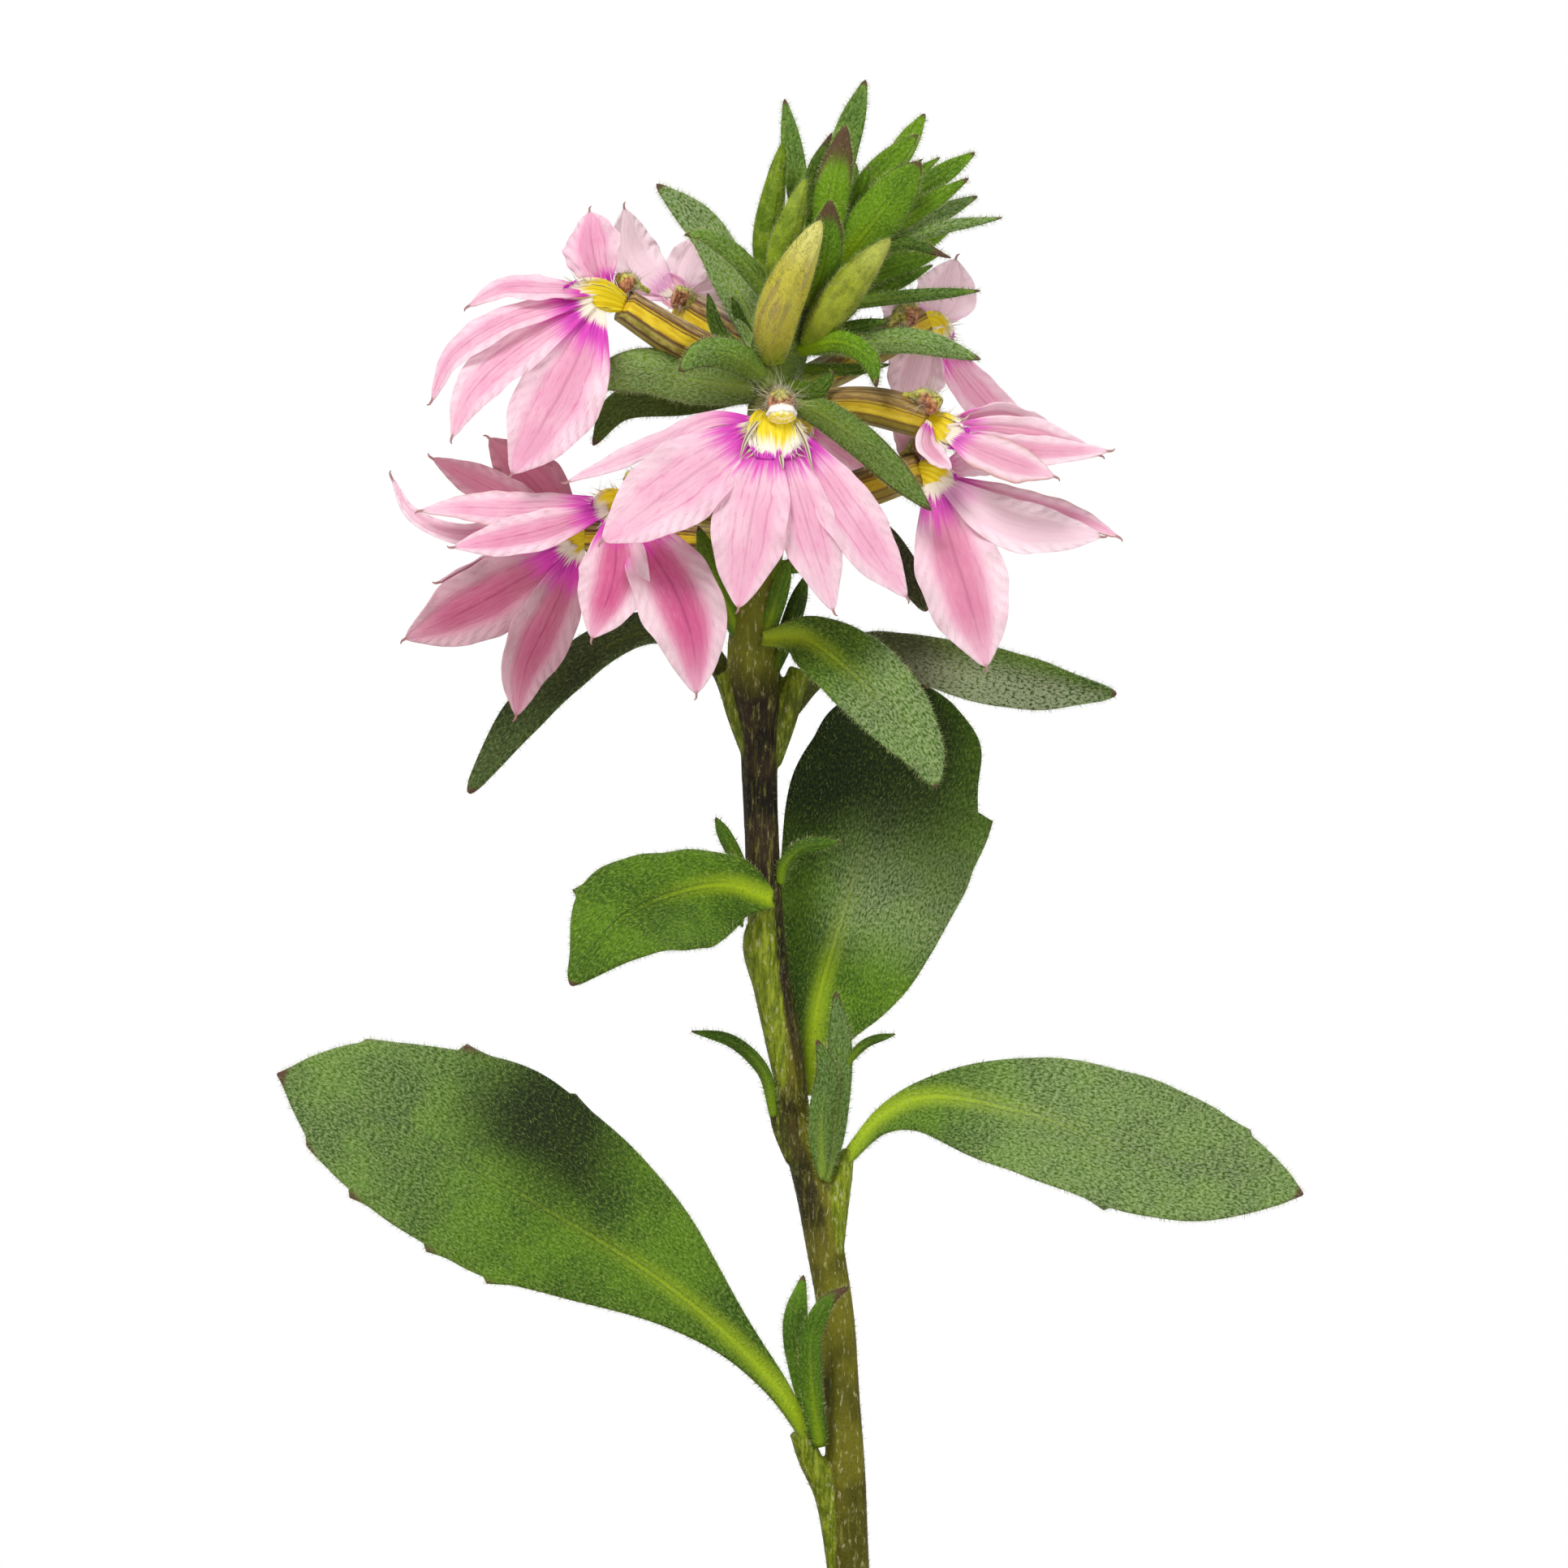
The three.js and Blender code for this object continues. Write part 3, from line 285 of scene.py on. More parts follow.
def sheet(line, left, right, thick, steps, lean=0.0, cup=0.12, teeth=NO_TEETH, relief=None, stain=0, fur=1,
          look=(0, 0, 0), seed=0.0, finish=0):
    """One closed thin sheet along a line, in millimetres."""
    along = 1 - (1 - np.linspace(0, 1, steps[0] + 1)) ** TIP_CROWDING
    u, v = np.meshgrid(np.sin(np.pi / 2 * np.linspace(-1, 1, steps[1] + 1)), along)
    centre, heading, _, length = smooth_line(line, along)
    side = unit(np.stack([heading[:, 2], 0 * along, -heading[:, 0]], axis=1))
    outward = side + lean * unit(np.cross(side, heading))
    up = unit(np.cross(outward, heading))
    closing = np.sqrt(np.clip(1 - (np.clip(along - 1 + TIP_ROUND, 0, 1) / TIP_ROUND) ** 2, TIP_LEAST, 1))
    half_left = (spread(left, along) + tooth_height(teeth[0], along)) * closing
    half_right = (spread(right, along) + tooth_height(teeth[1], along)) * closing
    half = np.maximum(np.where(u < 0, half_left[:, None], half_right[:, None]), THINNEST)
    rise = cup * half * np.abs(u) ** CUP_POWER
    if relief:
        rise = rise + relief(u, v, half)
    body = thick * np.sqrt(1 - np.abs(u) ** RIM_POWER) * np.sqrt(closing)[:, None]
    middle = centre[:, None] + outward[:, None] * (u * half)[..., None] + up[:, None] * rise[..., None]
    front, back = (middle + up[:, None] * (sign * body / 2)[..., None] for sign in (1, -1))
    fan = (HAIR_FAN * u + RIM_HAIR_FAN * u**7)[..., None]
    teeth_here = np.where(u < 0, tooth_height(teeth[0], v), tooth_height(teeth[1], v))
    looks = looks_at(look, u, v)
    values = {
        "spot": np.stack([u, v, np.full_like(u, seed)], axis=-1),
        "span": np.stack([u * half, v * length, half], axis=-1),
        "look": looks,
        "lay": unit(heading[:, None] + outward[:, None] * fan),
        "stain": number_at(stain, u, v, teeth_here)[..., None],
        "fur": number_at(fur, u, v)[..., None] * (1 - SHADE_FUR_LOSS * looks[..., 1:2]),
    }
    part = {name: all_round(grid, grid) for name, grid in values.items()}
    part["corners"] = all_round(front, back)
    part["face"] = all_round(np.ones_like(u)[..., None], np.zeros_like(u)[..., None])
    part["faces"] = sheet_faces(*steps)
    part["finish"] = finish
    return part


test_sheet = sheet([[0, 0, 0], [0, 0, 9]], [1, 1], [1, 1], 0.3, (8, 6))
print("a test sheet has", len(test_sheet["faces"]), "faces")

# %% [markdown]
# ## Stalks
# A stalk is a row of rings, with a pole at each end. The rings are carried along the line without any
# twist, so that ribs run straight up. It carries the same numbers as a sheet, and its face number is how
# far it looks up, because tubes and pollen cups have another colour on top.

# %% Stalks
FIRST_SIDE = [0.02, -1, 0.6]


def untwisted(heading):
    """Two directions across the line at each of its places, carried on without a twist."""
    normals = [unit(np.cross(np.cross(heading[0], FIRST_SIDE), heading[0]))]
    for way in heading[1:]:
        normals.append(unit(normals[-1] - way * np.dot(normals[-1], way)))
    return np.array(normals), np.cross(heading, normals)


def stalk_faces(steps_along, sides):
    """Faces round a stalk, and a fan of faces round the pole at each end."""
    faces = band_faces(steps_along, sides)
    last, pole = steps_along * sides, (steps_along + 1) * sides
    for step in range(sides):
        following = (step + 1) % sides
        faces.append([following, step, pole])
        faces.append([last + step, last + following, pole + 1])
    return faces


def stalk(points, radii, steps, relief=None, look=(0, 0, 0), seed=0.0, finish=0, fur=1):
    """A closed round stalk along a line, in millimetres."""
    along = np.linspace(0, 1, steps[0] + 1)
    centre, heading, params, length = smooth_line(points, along)
    normals, binormals = untwisted(heading)
    a, v = np.meshgrid(2 * np.pi * np.arange(steps[1]) / steps[1], along)
    radius = spread(radii, params)[:, None] * np.ones_like(a)
    if relief:
        radius = np.maximum(radius + relief(a, v, radius), THINNEST)
    outward = normals[:, None] * np.cos(a)[..., None] + binormals[:, None] * np.sin(a)[..., None]
    corners = centre[:, None] + outward * radius[..., None]
    values = {
        "corners": corners,
        "spot": np.stack([np.cos(a), v, np.full_like(a, seed)], axis=-1),
        "span": np.stack([np.sin(a), v * length, radius], axis=-1),
        "look": looks_at(look, a, v),
        "lay": np.broadcast_to(heading[:, None], corners.shape),
        "stain": np.zeros_like(a)[..., None],
        "fur": number_at(fur, a, v)[..., None],
        "face": 0.5 + 0.5 * outward[..., 2:],
    }
    part = {"faces": stalk_faces(*steps), "finish": finish}
    for name, grid in values.items():
        poles = [grid[row].mean(axis=0) for row in (0, -1)]
        part[name] = np.concatenate([grid.reshape(-1, grid.shape[-1]), poles])
    return part


def stalk_of(rows, steps, *rules, **settings):
    """A stalk from rows that each hold a place and a radius."""
    rows = np.array(rows)
    return stalk(rows[:, :3], rows[:, 3], steps, *rules, **settings)


print("a test stalk has", len(stalk_of([[0, 0, 0, 1], [0, 0, 9, 1]], (8, 6))["faces"]), "faces")

# %% [markdown]
# ## From parts to a piece
# Sheets and stalks that grew together are one piece. Their corners go into one mesh in metres, and what
# the corners carry becomes attributes of the mesh, which the finishes and the hairs read by name. Every
# piece rides on the plant's one body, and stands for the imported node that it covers.

# %% From parts to a piece
CARRIED = {"spot": "FLOAT_VECTOR", "span": "FLOAT_VECTOR", "look": "FLOAT_VECTOR", "lay": "FLOAT_VECTOR",
           "stain": "FLOAT", "fur": "FLOAT", "face": "FLOAT"}


def new_piece(name, corners, faces, finishes):
    """A smooth mesh object from corners in millimetres, with its place in its mesh."""
    mesh = bpy.data.meshes.new(name)
    mesh.from_pydata((corners * MM).tolist(), [], faces)
    for finish in finishes:
        mesh.materials.append(finish)
    mesh.shade_smooth()
    piece = bpy.data.objects.new(name, mesh)
    bpy.context.collection.objects.link(piece)
    return piece


def join_parts(name, parts, finishes):
    """One piece from parts, with a finish slot for each finish."""
    faces, slots, start = [], [], 0
    for part in parts:
        faces += [[corner + start for corner in face] for face in part["faces"]]
        slots += [part["finish"]] * len(part["faces"])
        start += len(part["corners"])
    piece = new_piece(name, np.concatenate([part["corners"] for part in parts]), faces, finishes)
    piece.data.polygons.foreach_set("material_index", slots)
    for label, kind in CARRIED.items():
        values = np.concatenate([part[label] for part in parts]).astype(np.float32)
        attribute = piece.data.attributes.new(label, kind, "POINT")
        attribute.data.foreach_set("value" if kind == "FLOAT" else "vector", values.ravel())
    return piece


def settle(piece, slot, *nodes):
    """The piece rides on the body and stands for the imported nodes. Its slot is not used."""
    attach(piece, BODY)
    if nodes:
        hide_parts(*nodes)
    return piece


print("a piece carries", ", ".join(CARRIED))

# %% [markdown]
# ## Nodes that read like sums
# Finishes and hairs are both made of nodes, which pass numbers to each other. Here the output of a node
# is a value that can be added, multiplied or faded like a plain number, and each such step makes one more
# node.

# %% Nodes that read like sums
class Value:
    """The output of a node."""

    def __init__(self, wiring, socket):
        self.wiring = wiring
        self.socket = socket

    def __add__(self, other):
        return self.wiring.calc("ADD", self, other)

    def __radd__(self, other):
        return self.wiring.calc("ADD", other, self)

    def __sub__(self, other):
        return self.wiring.calc("SUBTRACT", self, other)

    def __rsub__(self, other):
        return self.wiring.calc("SUBTRACT", other, self)

    def __mul__(self, other):
        return self.wiring.calc("MULTIPLY", self, other)

    def __truediv__(self, other):
        return self.wiring.calc("DIVIDE", self, other)

    def __abs__(self):
        return self.wiring.calc("ABSOLUTE", self)

    def most(self, other):
        """The higher one of two values."""
        return self.wiring.calc("MAXIMUM", self, other)

    def fade(self, start, end):
        """A smooth rise from 0 at the start to 1 at the end, or a fall where the end is the lower one."""
        inputs = {"Value": self, "From Min": start, "From Max": end}
        return self.wiring.add("ShaderNodeMapRange", inputs, interpolation_type="SMOOTHSTEP")

    def near(self, middle, width):
        """1 where the value is at the middle, falling to 0 at the width to each side."""
        return abs(self - middle).fade(width, 0.0)


class Wiring:
    """Adds nodes to a tree. What goes into a node is a value, or anything that its socket takes."""

    def __init__(self, tree):
        self.tree = tree

    def node(self, kind, inputs=None, **settings):
        """A new node, with values for its inputs and settings of its own."""
        node = self.tree.nodes.new(kind)
        for name, value in settings.items():
            setattr(node, name, value)
        for name, value in (inputs or {}).items():
            if isinstance(value, Value):
                self.tree.links.new(value.socket, node.inputs[name])
            else:
                node.inputs[name].default_value = value
        return node

    def add(self, kind, inputs=None, output=0, **settings):
        """One output of a new node."""
        return Value(self, self.node(kind, inputs, **settings).outputs[output])

    def calc(self, operation, *values):
        return self.add("ShaderNodeMath", dict(enumerate(values)), operation=operation)

    def scaled(self, vector, share):
        return self.add("ShaderNodeVectorMath", {0: vector, "Scale": share}, operation="SCALE")

    def joined(self, **axes):
        """A vector from numbers for X, Y and Z."""
        return self.add("ShaderNodeCombineXYZ", axes)

    def axes(self, vector):
        """The three numbers of a vector."""
        node = self.node("ShaderNodeSeparateXYZ", {0: vector})
        return [Value(self, socket) for socket in node.outputs]


print("two kinds of tool for nodes:", Value.__name__, "and", Wiring.__name__)

# %% [markdown]
# ## A tree that grows things on a piece
# Hairs and crumbs are scattered in the same way. Geometry Nodes put points on a surface, copy a small
# shape to each point and make the copies real, because an export drops copies that exist in a tree alone.
# The result becomes a plain mesh of its own, and the modifier is removed.

# %% A tree that grows things on a piece
FULL_TURN = 2 * math.pi


class Growth(Wiring):
    """A geometry tree with a ground, named numbers, a seed and a finish as its inputs."""

    def __init__(self, name, numbers):
        super().__init__(bpy.data.node_groups.new(name, "GeometryNodeTree"))
        kinds = {"Ground": "Geometry", **dict.fromkeys(numbers, "Float"), "Seed": "Int", "Finish": "Material"}
        for label, kind in kinds.items():
            self.tree.interface.new_socket(label, in_out="INPUT", socket_type="NodeSocket" + kind)
        self.tree.interface.new_socket("Growth", in_out="OUTPUT", socket_type="NodeSocketGeometry")
        outputs = self.tree.nodes.new("NodeGroupInput").outputs
        self.given = {socket.name: Value(self, socket) for socket in outputs}

    def carried(self, name):
        return self.add("GeometryNodeInputNamedAttribute", {"Name": name}, data_type=CARRIED[name])

    def position(self):
        return self.add("GeometryNodeInputPosition")

    def chance(self, low, high, offset=0):
        """A random number for each point, from the tree's own seed."""
        seed = self.add("FunctionNodeIntegerMath", {0: self.given["Seed"], 1: offset}, operation="ADD")
        inputs = {"Seed": seed, 2: low, 3: high}
        return self.add("FunctionNodeRandomValue", inputs, output=1, data_type="FLOAT")

    def any_way(self, low, high):
        """A vector with a random number on each axis."""
        return self.joined(**{axis: self.chance(low, high, step) for step, axis in enumerate("XYZ")})

    def scatter(self, density):
        """Points on the ground, and the way in which the ground faces at each."""
        inputs = {"Mesh": self.given["Ground"], "Density": density, "Seed": self.given["Seed"]}
        node = self.node("GeometryNodeDistributePointsOnFaces", inputs)
        return Value(self, node.outputs["Points"]), Value(self, node.outputs["Normal"])

    def moved(self, shape, **inputs):
        return self.add("GeometryNodeSetPosition", {"Geometry": shape, **inputs})

    def end(self, points, instance, rotation, scale):
        """Copies of the instance on the points, made real and given the finish."""
        inputs = {"Points": points, "Instance": instance, "Rotation": rotation, "Scale": scale}
        real = self.add("GeometryNodeRealizeInstances", {0: self.add("GeometryNodeInstanceOnPoints", inputs)})
        finish = self.add("GeometryNodeSetMaterial", {"Geometry": real, "Material": self.given["Finish"]})
        self.node("NodeGroupOutput", {"Growth": finish})
        return self.tree


def grown_on(ground, name, tree, finish, seed, **numbers):
    """What the tree grows on a piece, as a plain mesh object of its own."""
    growth = bpy.data.objects.new(name, ground.data)
    bpy.context.collection.objects.link(growth)
    modifier = growth.modifiers.new(name, "NODES")
    modifier.node_group = tree
    values = {label.capitalize(): value for label, value in numbers.items()}
    values.update(Seed=seed, Finish=finish)
    for item in tree.interface.items_tree:
        if item.in_out == "INPUT" and item.name in values:
            modifier[item.identifier] = values[item.name]
    graph = bpy.context.evaluated_depsgraph_get()
    mesh = bpy.data.meshes.new_from_object(growth.evaluated_get(graph), depsgraph=graph)
    growth.modifiers.remove(modifier)
    growth.data = mesh
    mesh.name = name
    for label in list(mesh.attributes.keys()):
        if label in CARRIED:
            mesh.attributes.remove(mesh.attributes[label])
    mesh.shade_smooth()
    return growth


print("the tools for growth are ready, and a full turn is", round(FULL_TURN, 3))

# %% [markdown]
# ## Hairs
# Nearly every green surface of this plant wears short pale hairs, and the pollen cups wear long ones.
# Hair curves are lost in an export, so the hairs are thin three-sided spikes. The tree turns each spike
# between the surface's own direction and the way hairs lie there, bends it, and tangles it a little.

# %% Hairs
SPIKE_SIDES = 3
SPIKE_SINK = 0.08
SPIKE_SIZES = (0.5, 1.15)


def make_hair_tree():
    wire = Growth("hairs", ["Density", "Length", "Width", "Lie", "Tangle", "Bend", "Joints"])
    given = wire.given
    length = given["Length"]
    points, normal = wire.scatter(given["Density"] * wire.carried("fur"))
    standing = wire.scaled(normal, 1.0 - given["Lie"])
    lying = wire.scaled(wire.carried("lay"), given["Lie"])
    tangled = wire.scaled(wire.any_way(-1, 1), given["Tangle"])
    way = standing
    for pull in (lying, tangled):
        way = wire.add("ShaderNodeVectorMath", {0: way, 1: pull}, operation="ADD")
    aligned = wire.add("FunctionNodeAlignRotationToVector", {"Vector": way}, axis="Z")
    angle = wire.chance(0, FULL_TURN, 4)
    spin = wire.add("FunctionNodeAxisAngleToRotation", {"Axis": (0, 0, 1), "Angle": angle})
    turned = wire.add("FunctionNodeRotateRotation", {0: aligned, 1: spin}, rotation_space="LOCAL")
    joints = wire.add("FunctionNodeFloatToInt", {0: given["Joints"]})
    shape = {"Vertices": SPIKE_SIDES, "Side Segments": joints, "Radius Top": 0.0,
             "Radius Bottom": given["Width"], "Depth": length}
    spike = wire.add("GeometryNodeMeshCone", shape, output="Mesh", fill_type="NGON")
    share = wire.axes(wire.position())[2] / length
    shift = wire.joined(X=share * share * given["Bend"] * length, Z=length * -SPIKE_SINK)
    return wire.end(points, wire.moved(spike, Offset=shift), turned, wire.chance(*SPIKE_SIZES, 5))


hair_tree = make_hair_tree()
hair_faces = []


def add_hairs(piece, finish, slot, seed, density, length, width=0.02, lie=0.5, tangle=0.4, bend=0.2, joints=1,
              kind="_hairs"):
    """Hairs on a piece: so many to a square millimetre, with sizes in millimetres."""
    hairs = grown_on(piece, piece.name + kind, hair_tree, finish, seed, density=density / MM**2,
                     length=length * MM, width=width * MM, lie=lie, tangle=tangle, bend=bend, joints=joints)
    hair_faces.append(len(hairs.data.polygons))
    return settle(hairs, slot)


print("the hair tree has", len(hair_tree.nodes), "nodes")

# %% [markdown]
# ## Paint
# A finish is built from small steps, like thin coats: a base of two mingled colours, then stains, stripes
# and veins laid over it by a share from 0 to 1. The shares come from the attributes, so that every stripe
# follows its petal, and from noise, so that no two leaves are alike. Colours are written as six-figure
# screen codes. The floor gets the first and plainest finish.

# %% Paint
SOFT = (0.35, 0.65)
FLOOR_COLOURS = ("F1EFEB", "E9E7E2")


def tone(code):
    """A colour as linear light, from its six-figure screen code."""
    shares = [int(code[start:start + 2], 16) / 255 for start in (0, 2, 4)]
    return [share / 12.92 if share <= 0.04045 else ((share + 0.055) / 1.055) ** 2.4 for share in shares] + [1]


class Finish(Wiring):
    """A material that is built up in coats."""

    def __init__(self, name, roughness, specular=0.5, sheen=0.0):
        self.material = bpy.data.materials.new(name)
        self.material.use_nodes = True
        super().__init__(self.material.node_tree)
        self.shader = self.tree.nodes["Principled BSDF"]
        self.shader.inputs["Roughness"].default_value = roughness
        self.shader.inputs["Specular IOR Level"].default_value = specular
        self.shader.inputs["Sheen Weight"].default_value = sheen

    def mixed(self, below, above, share):
        """One colour over another, by a share."""
        below, above = (tone(colour) if isinstance(colour, str) else colour for colour in (below, above))
        return self.add("ShaderNodeMix", {0: share, 6: below, 7: above}, output=2, data_type="RGBA")

    def base(self, dark, light, share):
        self.colour = self.mixed(dark, light, share)

    def coat(self, colour, share):
        """One more coat over all that is there."""
        self.colour = self.mixed(self.colour, colour, share)

    def number(self, name):
        return self.add("ShaderNodeAttribute", output="Fac", attribute_name=name)

    def vector(self, name):
        return self.add("ShaderNodeAttribute", output="Vector", attribute_name=name)

    def carried(self, name):
        """The three numbers of an attribute."""
        return self.axes(self.vector(name))

    def place(self):
        return self.add("ShaderNodeTexCoord", output="Object")

    def noise(self, scale, detail=2.0, roughness=0.5, over=None, stretch=None):
        """Noise over the place, or over another vector, which may be stretched first."""
        over = over or self.place()
        if stretch:
            over = self.add("ShaderNodeVectorMath", {0: over, 1: stretch}, operation="MULTIPLY")
        inputs = {"Vector": over, "Scale": scale, "Detail": detail, "Roughness": roughness}
        return self.add("ShaderNodeTexNoise", inputs)

    def done(self, height=None, depth=0.0, through=0.0):
        """Ends the finish with a fine relief of so many millimetres, and light that passes through."""
        self.tree.links.new(self.colour.socket, self.shader.inputs["Base Color"])
        if height is not None:
            bump = self.add("ShaderNodeBump", {"Height": height, "Distance": depth * MM, "Strength": 1.0})
            self.tree.links.new(bump.socket, self.shader.inputs["Normal"])
        if through:
            glow = self.add("ShaderNodeBsdfTranslucent", {"Color": self.colour})
            shader = Value(self, self.shader.outputs[0])
            mix = self.add("ShaderNodeMixShader", {0: through, 1: shader, 2: glow})
            self.tree.links.new(mix.socket, self.tree.nodes["Material Output"].inputs["Surface"])
        return self.material


floor_paint = Finish("floor_finish", 0.9)
floor_paint.base(*FLOOR_COLOURS, floor_paint.noise(3))
floor_mesh.materials.append(floor_paint.done())
print("paint is ready, and the floor has", floor_mesh.materials[0].name)

# %% [markdown]
# ## Hair colours
# The hairs on leaves and bracts are pale and let light through, those on the pollen cups are a little
# tan. Each is only as thick as a sewing thread's fibre, so its colour only drifts from root to tip by the
# place.

# %% Hair colours
def make_hair_finish(name, dark, pale):
    paint = Finish(name, 0.5, specular=0.3)
    paint.base(dark, pale, paint.noise(900, 1).fade(0.3, 0.6))
    return paint.done(through=0.4)


leaf_hair = make_hair_finish("leaf_hair_finish", "8CA64C", "D5DF9A")
stem_hair = make_hair_finish("stem_hair_finish", "6E6A42", "B4B088")
cup_hair = make_hair_finish("cup_hair_finish", "BDA988", "F2ECDA")
throat_hair = make_hair_finish("throat_hair_finish", "F3EAC4", "FFFDF2")
print("hair finishes", leaf_hair.name, stem_hair.name, cup_hair.name, throat_hair.name)

# %% [markdown]
# ## Fired clay
# Terracotta is never one colour. Clouds of a darker and a lighter burn mingle, dark specks of grog lie in
# it, and a little lime has bloomed on it. All three are noise on object coordinates, at three scales.

# %% Fired clay
CLAY_COLOURS = ("AF6239", "C27A4C")
CLAY_SPECKS = "8E4A2B"
LIME = "D9B79C"


def make_clay():
    paint = Finish("clay_finish", 0.82)
    speck = paint.noise(1400, 3)
    paint.base(*CLAY_COLOURS, paint.noise(45, 4, 0.6).fade(*SOFT))
    paint.coat(CLAY_SPECKS, speck.fade(0.6, 0.72) * 0.6)
    paint.coat(LIME, paint.noise(22, 5, 0.65).fade(0.55, 0.75) * 0.4)
    return paint.done(speck + paint.noise(300, 3), 0.12)


clay_finish = make_clay()
print(clay_finish.name, "has", len(clay_finish.node_tree.nodes), "nodes")

# %% [markdown]
# ## The pot
# A plain terracotta pot is thrown or pressed on a wheel, so it is a turned profile: a foot, a slanted
# wall, a rim band and a hollow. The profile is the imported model's, with every corner rounded by a small
# arc, and it is spun in many fine steps. Shallow turning rings run round the outside.

# %% The pot
POT_HEIGHT = 80
POT_FOOT_RADIUS = 31
POT_SHOULDER_RADIUS = 40.4
RIM_RADIUS = 46
RIM_STEP = 2.6
RIM_SLANT = 0.4
RIM_HEIGHT = 19
WALL = 4.6
POT_FLOOR = 7
DRAIN_RADIUS = 6
POT_ROUND = 1.3
ARC_STEPS = 5
ARC_LIMIT = 2.5
PROFILE_STEP = 1.6
POT_SIDES = 144
RING_DEPTH = 0.05
RING_WAVES = (2.1, 5.3)


def pot_inside(height):
    """Inner radius of the pot at a height, on the straight line from floor to rim."""
    foot, top = POT_FOOT_RADIUS - WALL, RIM_RADIUS - WALL
    return foot + (top - foot) * (height - POT_FLOOR) / (POT_HEIGHT - POT_FLOOR)


def rounded_profile(corners, radius):
    """A closed outline with an arc at each corner and short even steps between the arcs."""
    corners = np.array(corners, float)
    outline = []
    for index, corner in enumerate(corners):
        sides = [corners[index - 1] - corner, corners[(index + 1) % len(corners)] - corner]
        reach = min(min(radius, np.linalg.norm(side) / ARC_LIMIT) for side in sides)
        start, end = (corner + side / np.linalg.norm(side) * reach for side in sides)
        for share in np.linspace(0, 1, ARC_STEPS):
            outline.append((1 - share) ** 2 * start + 2 * share * (1 - share) * corner + share**2 * end)
    filled = []
    for index, spot in enumerate(outline):
        following = outline[(index + 1) % len(outline)]
        count = max(1, round(np.linalg.norm(following - spot) / PROFILE_STEP))
        filled += [spot + (following - spot) * share / count for share in range(count)]
    return np.array(filled)


def turned(profile, sides):
    """A closed shape turned round the upright axis, whose profile runs anticlockwise to the axis's right."""
    angle = 2 * np.pi * np.arange(sides) / sides
    radius, height = profile[:, 0][:, None], profile[:, 1][:, None]
    corners = np.stack([radius * np.cos(angle), radius * np.sin(angle), height + 0 * angle], axis=-1)
    faces = np.array(band_faces(len(profile), sides)) % (len(profile) * sides)
    return corners.reshape(-1, 3), faces.tolist()


def make_pot():
    shoulder = POT_HEIGHT - RIM_HEIGHT
    corners = [
        [DRAIN_RADIUS, 0], [POT_FOOT_RADIUS, 0], [POT_SHOULDER_RADIUS, shoulder],
        [POT_SHOULDER_RADIUS + RIM_STEP, shoulder + RIM_SLANT], [RIM_RADIUS, POT_HEIGHT],
        [RIM_RADIUS - WALL, POT_HEIGHT], [pot_inside(POT_FLOOR), POT_FLOOR], [DRAIN_RADIUS, POT_FLOOR],
    ]
    profile = rounded_profile(corners, POT_ROUND)
    outside = profile[:, 0] > pot_inside(profile[:, 1]) + WALL / 2
    rings = sum(np.sin(profile[:, 1] * wave) for wave in RING_WAVES) - len(RING_WAVES)
    profile[:, 0] += np.where(outside & (profile[:, 1] > POT_ROUND), RING_DEPTH * rings, 0)
    return settle(new_piece("clay_pot", *turned(profile, POT_SIDES), [clay_finish]), "clay", "pot")


clay_pot = make_pot()
print("the pot has", len(clay_pot.data.polygons), "faces")

# %% [markdown]
# ## The bed of soil
# Potting mix is dark, loose and never level. The bed is a turned shape that fills the pot to just below
# its rim, and its upper face is roughened by a few waves that cross each other.

# %% The bed of soil
SOIL_TOP = 72
SOIL_RISE = 1.6
SOIL_BUMP = 0.35
SOIL_WAVES = ((0.9, 1.7), (1.3, -0.8))
SOIL_FINE_WAVES = ((3.1, 2.2), (-2.4, 3.7), (5.1, -1.3))
SOIL_GAP = 0.6
SOIL_FLOOR = POT_FLOOR + 0.3
SOIL_MIDDLE = 0.4
SOIL_SIDES = 120
SOIL_RINGS = 40
SOIL_WALL_RINGS = 14

def make_grain_finish(name, dark, light, scale):
    paint = Finish(name, 0.92)
    grain = paint.noise(scale, 4, 0.65)
    paint.base(dark, light, grain.fade(0.35, 0.7))
    return paint.done(grain, 0.5)


def make_soil():
    edge = pot_inside(SOIL_TOP) - SOIL_GAP
    heights = np.linspace(SOIL_FLOOR, SOIL_TOP, SOIL_WALL_RINGS)
    wall = [[pot_inside(height) - SOIL_GAP, height] for height in heights]
    rings = np.linspace(edge, SOIL_MIDDLE, SOIL_RINGS)[1:]
    top = [[radius, SOIL_TOP + SOIL_RISE * (1 - radius / edge)] for radius in rings]
    profile = np.array([[SOIL_MIDDLE, SOIL_FLOOR], *wall, *top])
    corners, faces = turned(profile, SOIL_SIDES)
    last = (len(profile) - 1) * SOIL_SIDES
    faces = faces[:last]
    faces.append(list(range(SOIL_SIDES))[::-1])
    faces.append(list(range(last, last + SOIL_SIDES)))
    x, y, z = corners.T
    bump = SOIL_BUMP * sum(np.sin(a * x + b * y) for a, b in SOIL_WAVES)
    bump += SOIL_BUMP / 3 * sum(np.sin(a * x + b * y) for a, b in SOIL_FINE_WAVES)
    z += np.where(z > SOIL_TOP, bump, 0)
    finish = make_grain_finish("soil_finish", "241811", "4A3526", 700)
    return settle(new_piece("soil_bed", corners, faces, [finish]), "soil", "soil")


soil_bed = make_soil()
print("the bed of soil has", len(soil_bed.data.polygons), "faces")

# %% [markdown]
# ## Loose grains
# On the bed lie crumbs of soil, chips of bark and white grains of perlite. All three are small balls,
# dented by noise and stretched, that one tree scatters over the upper face. Only the numbers and the
# colours differ.

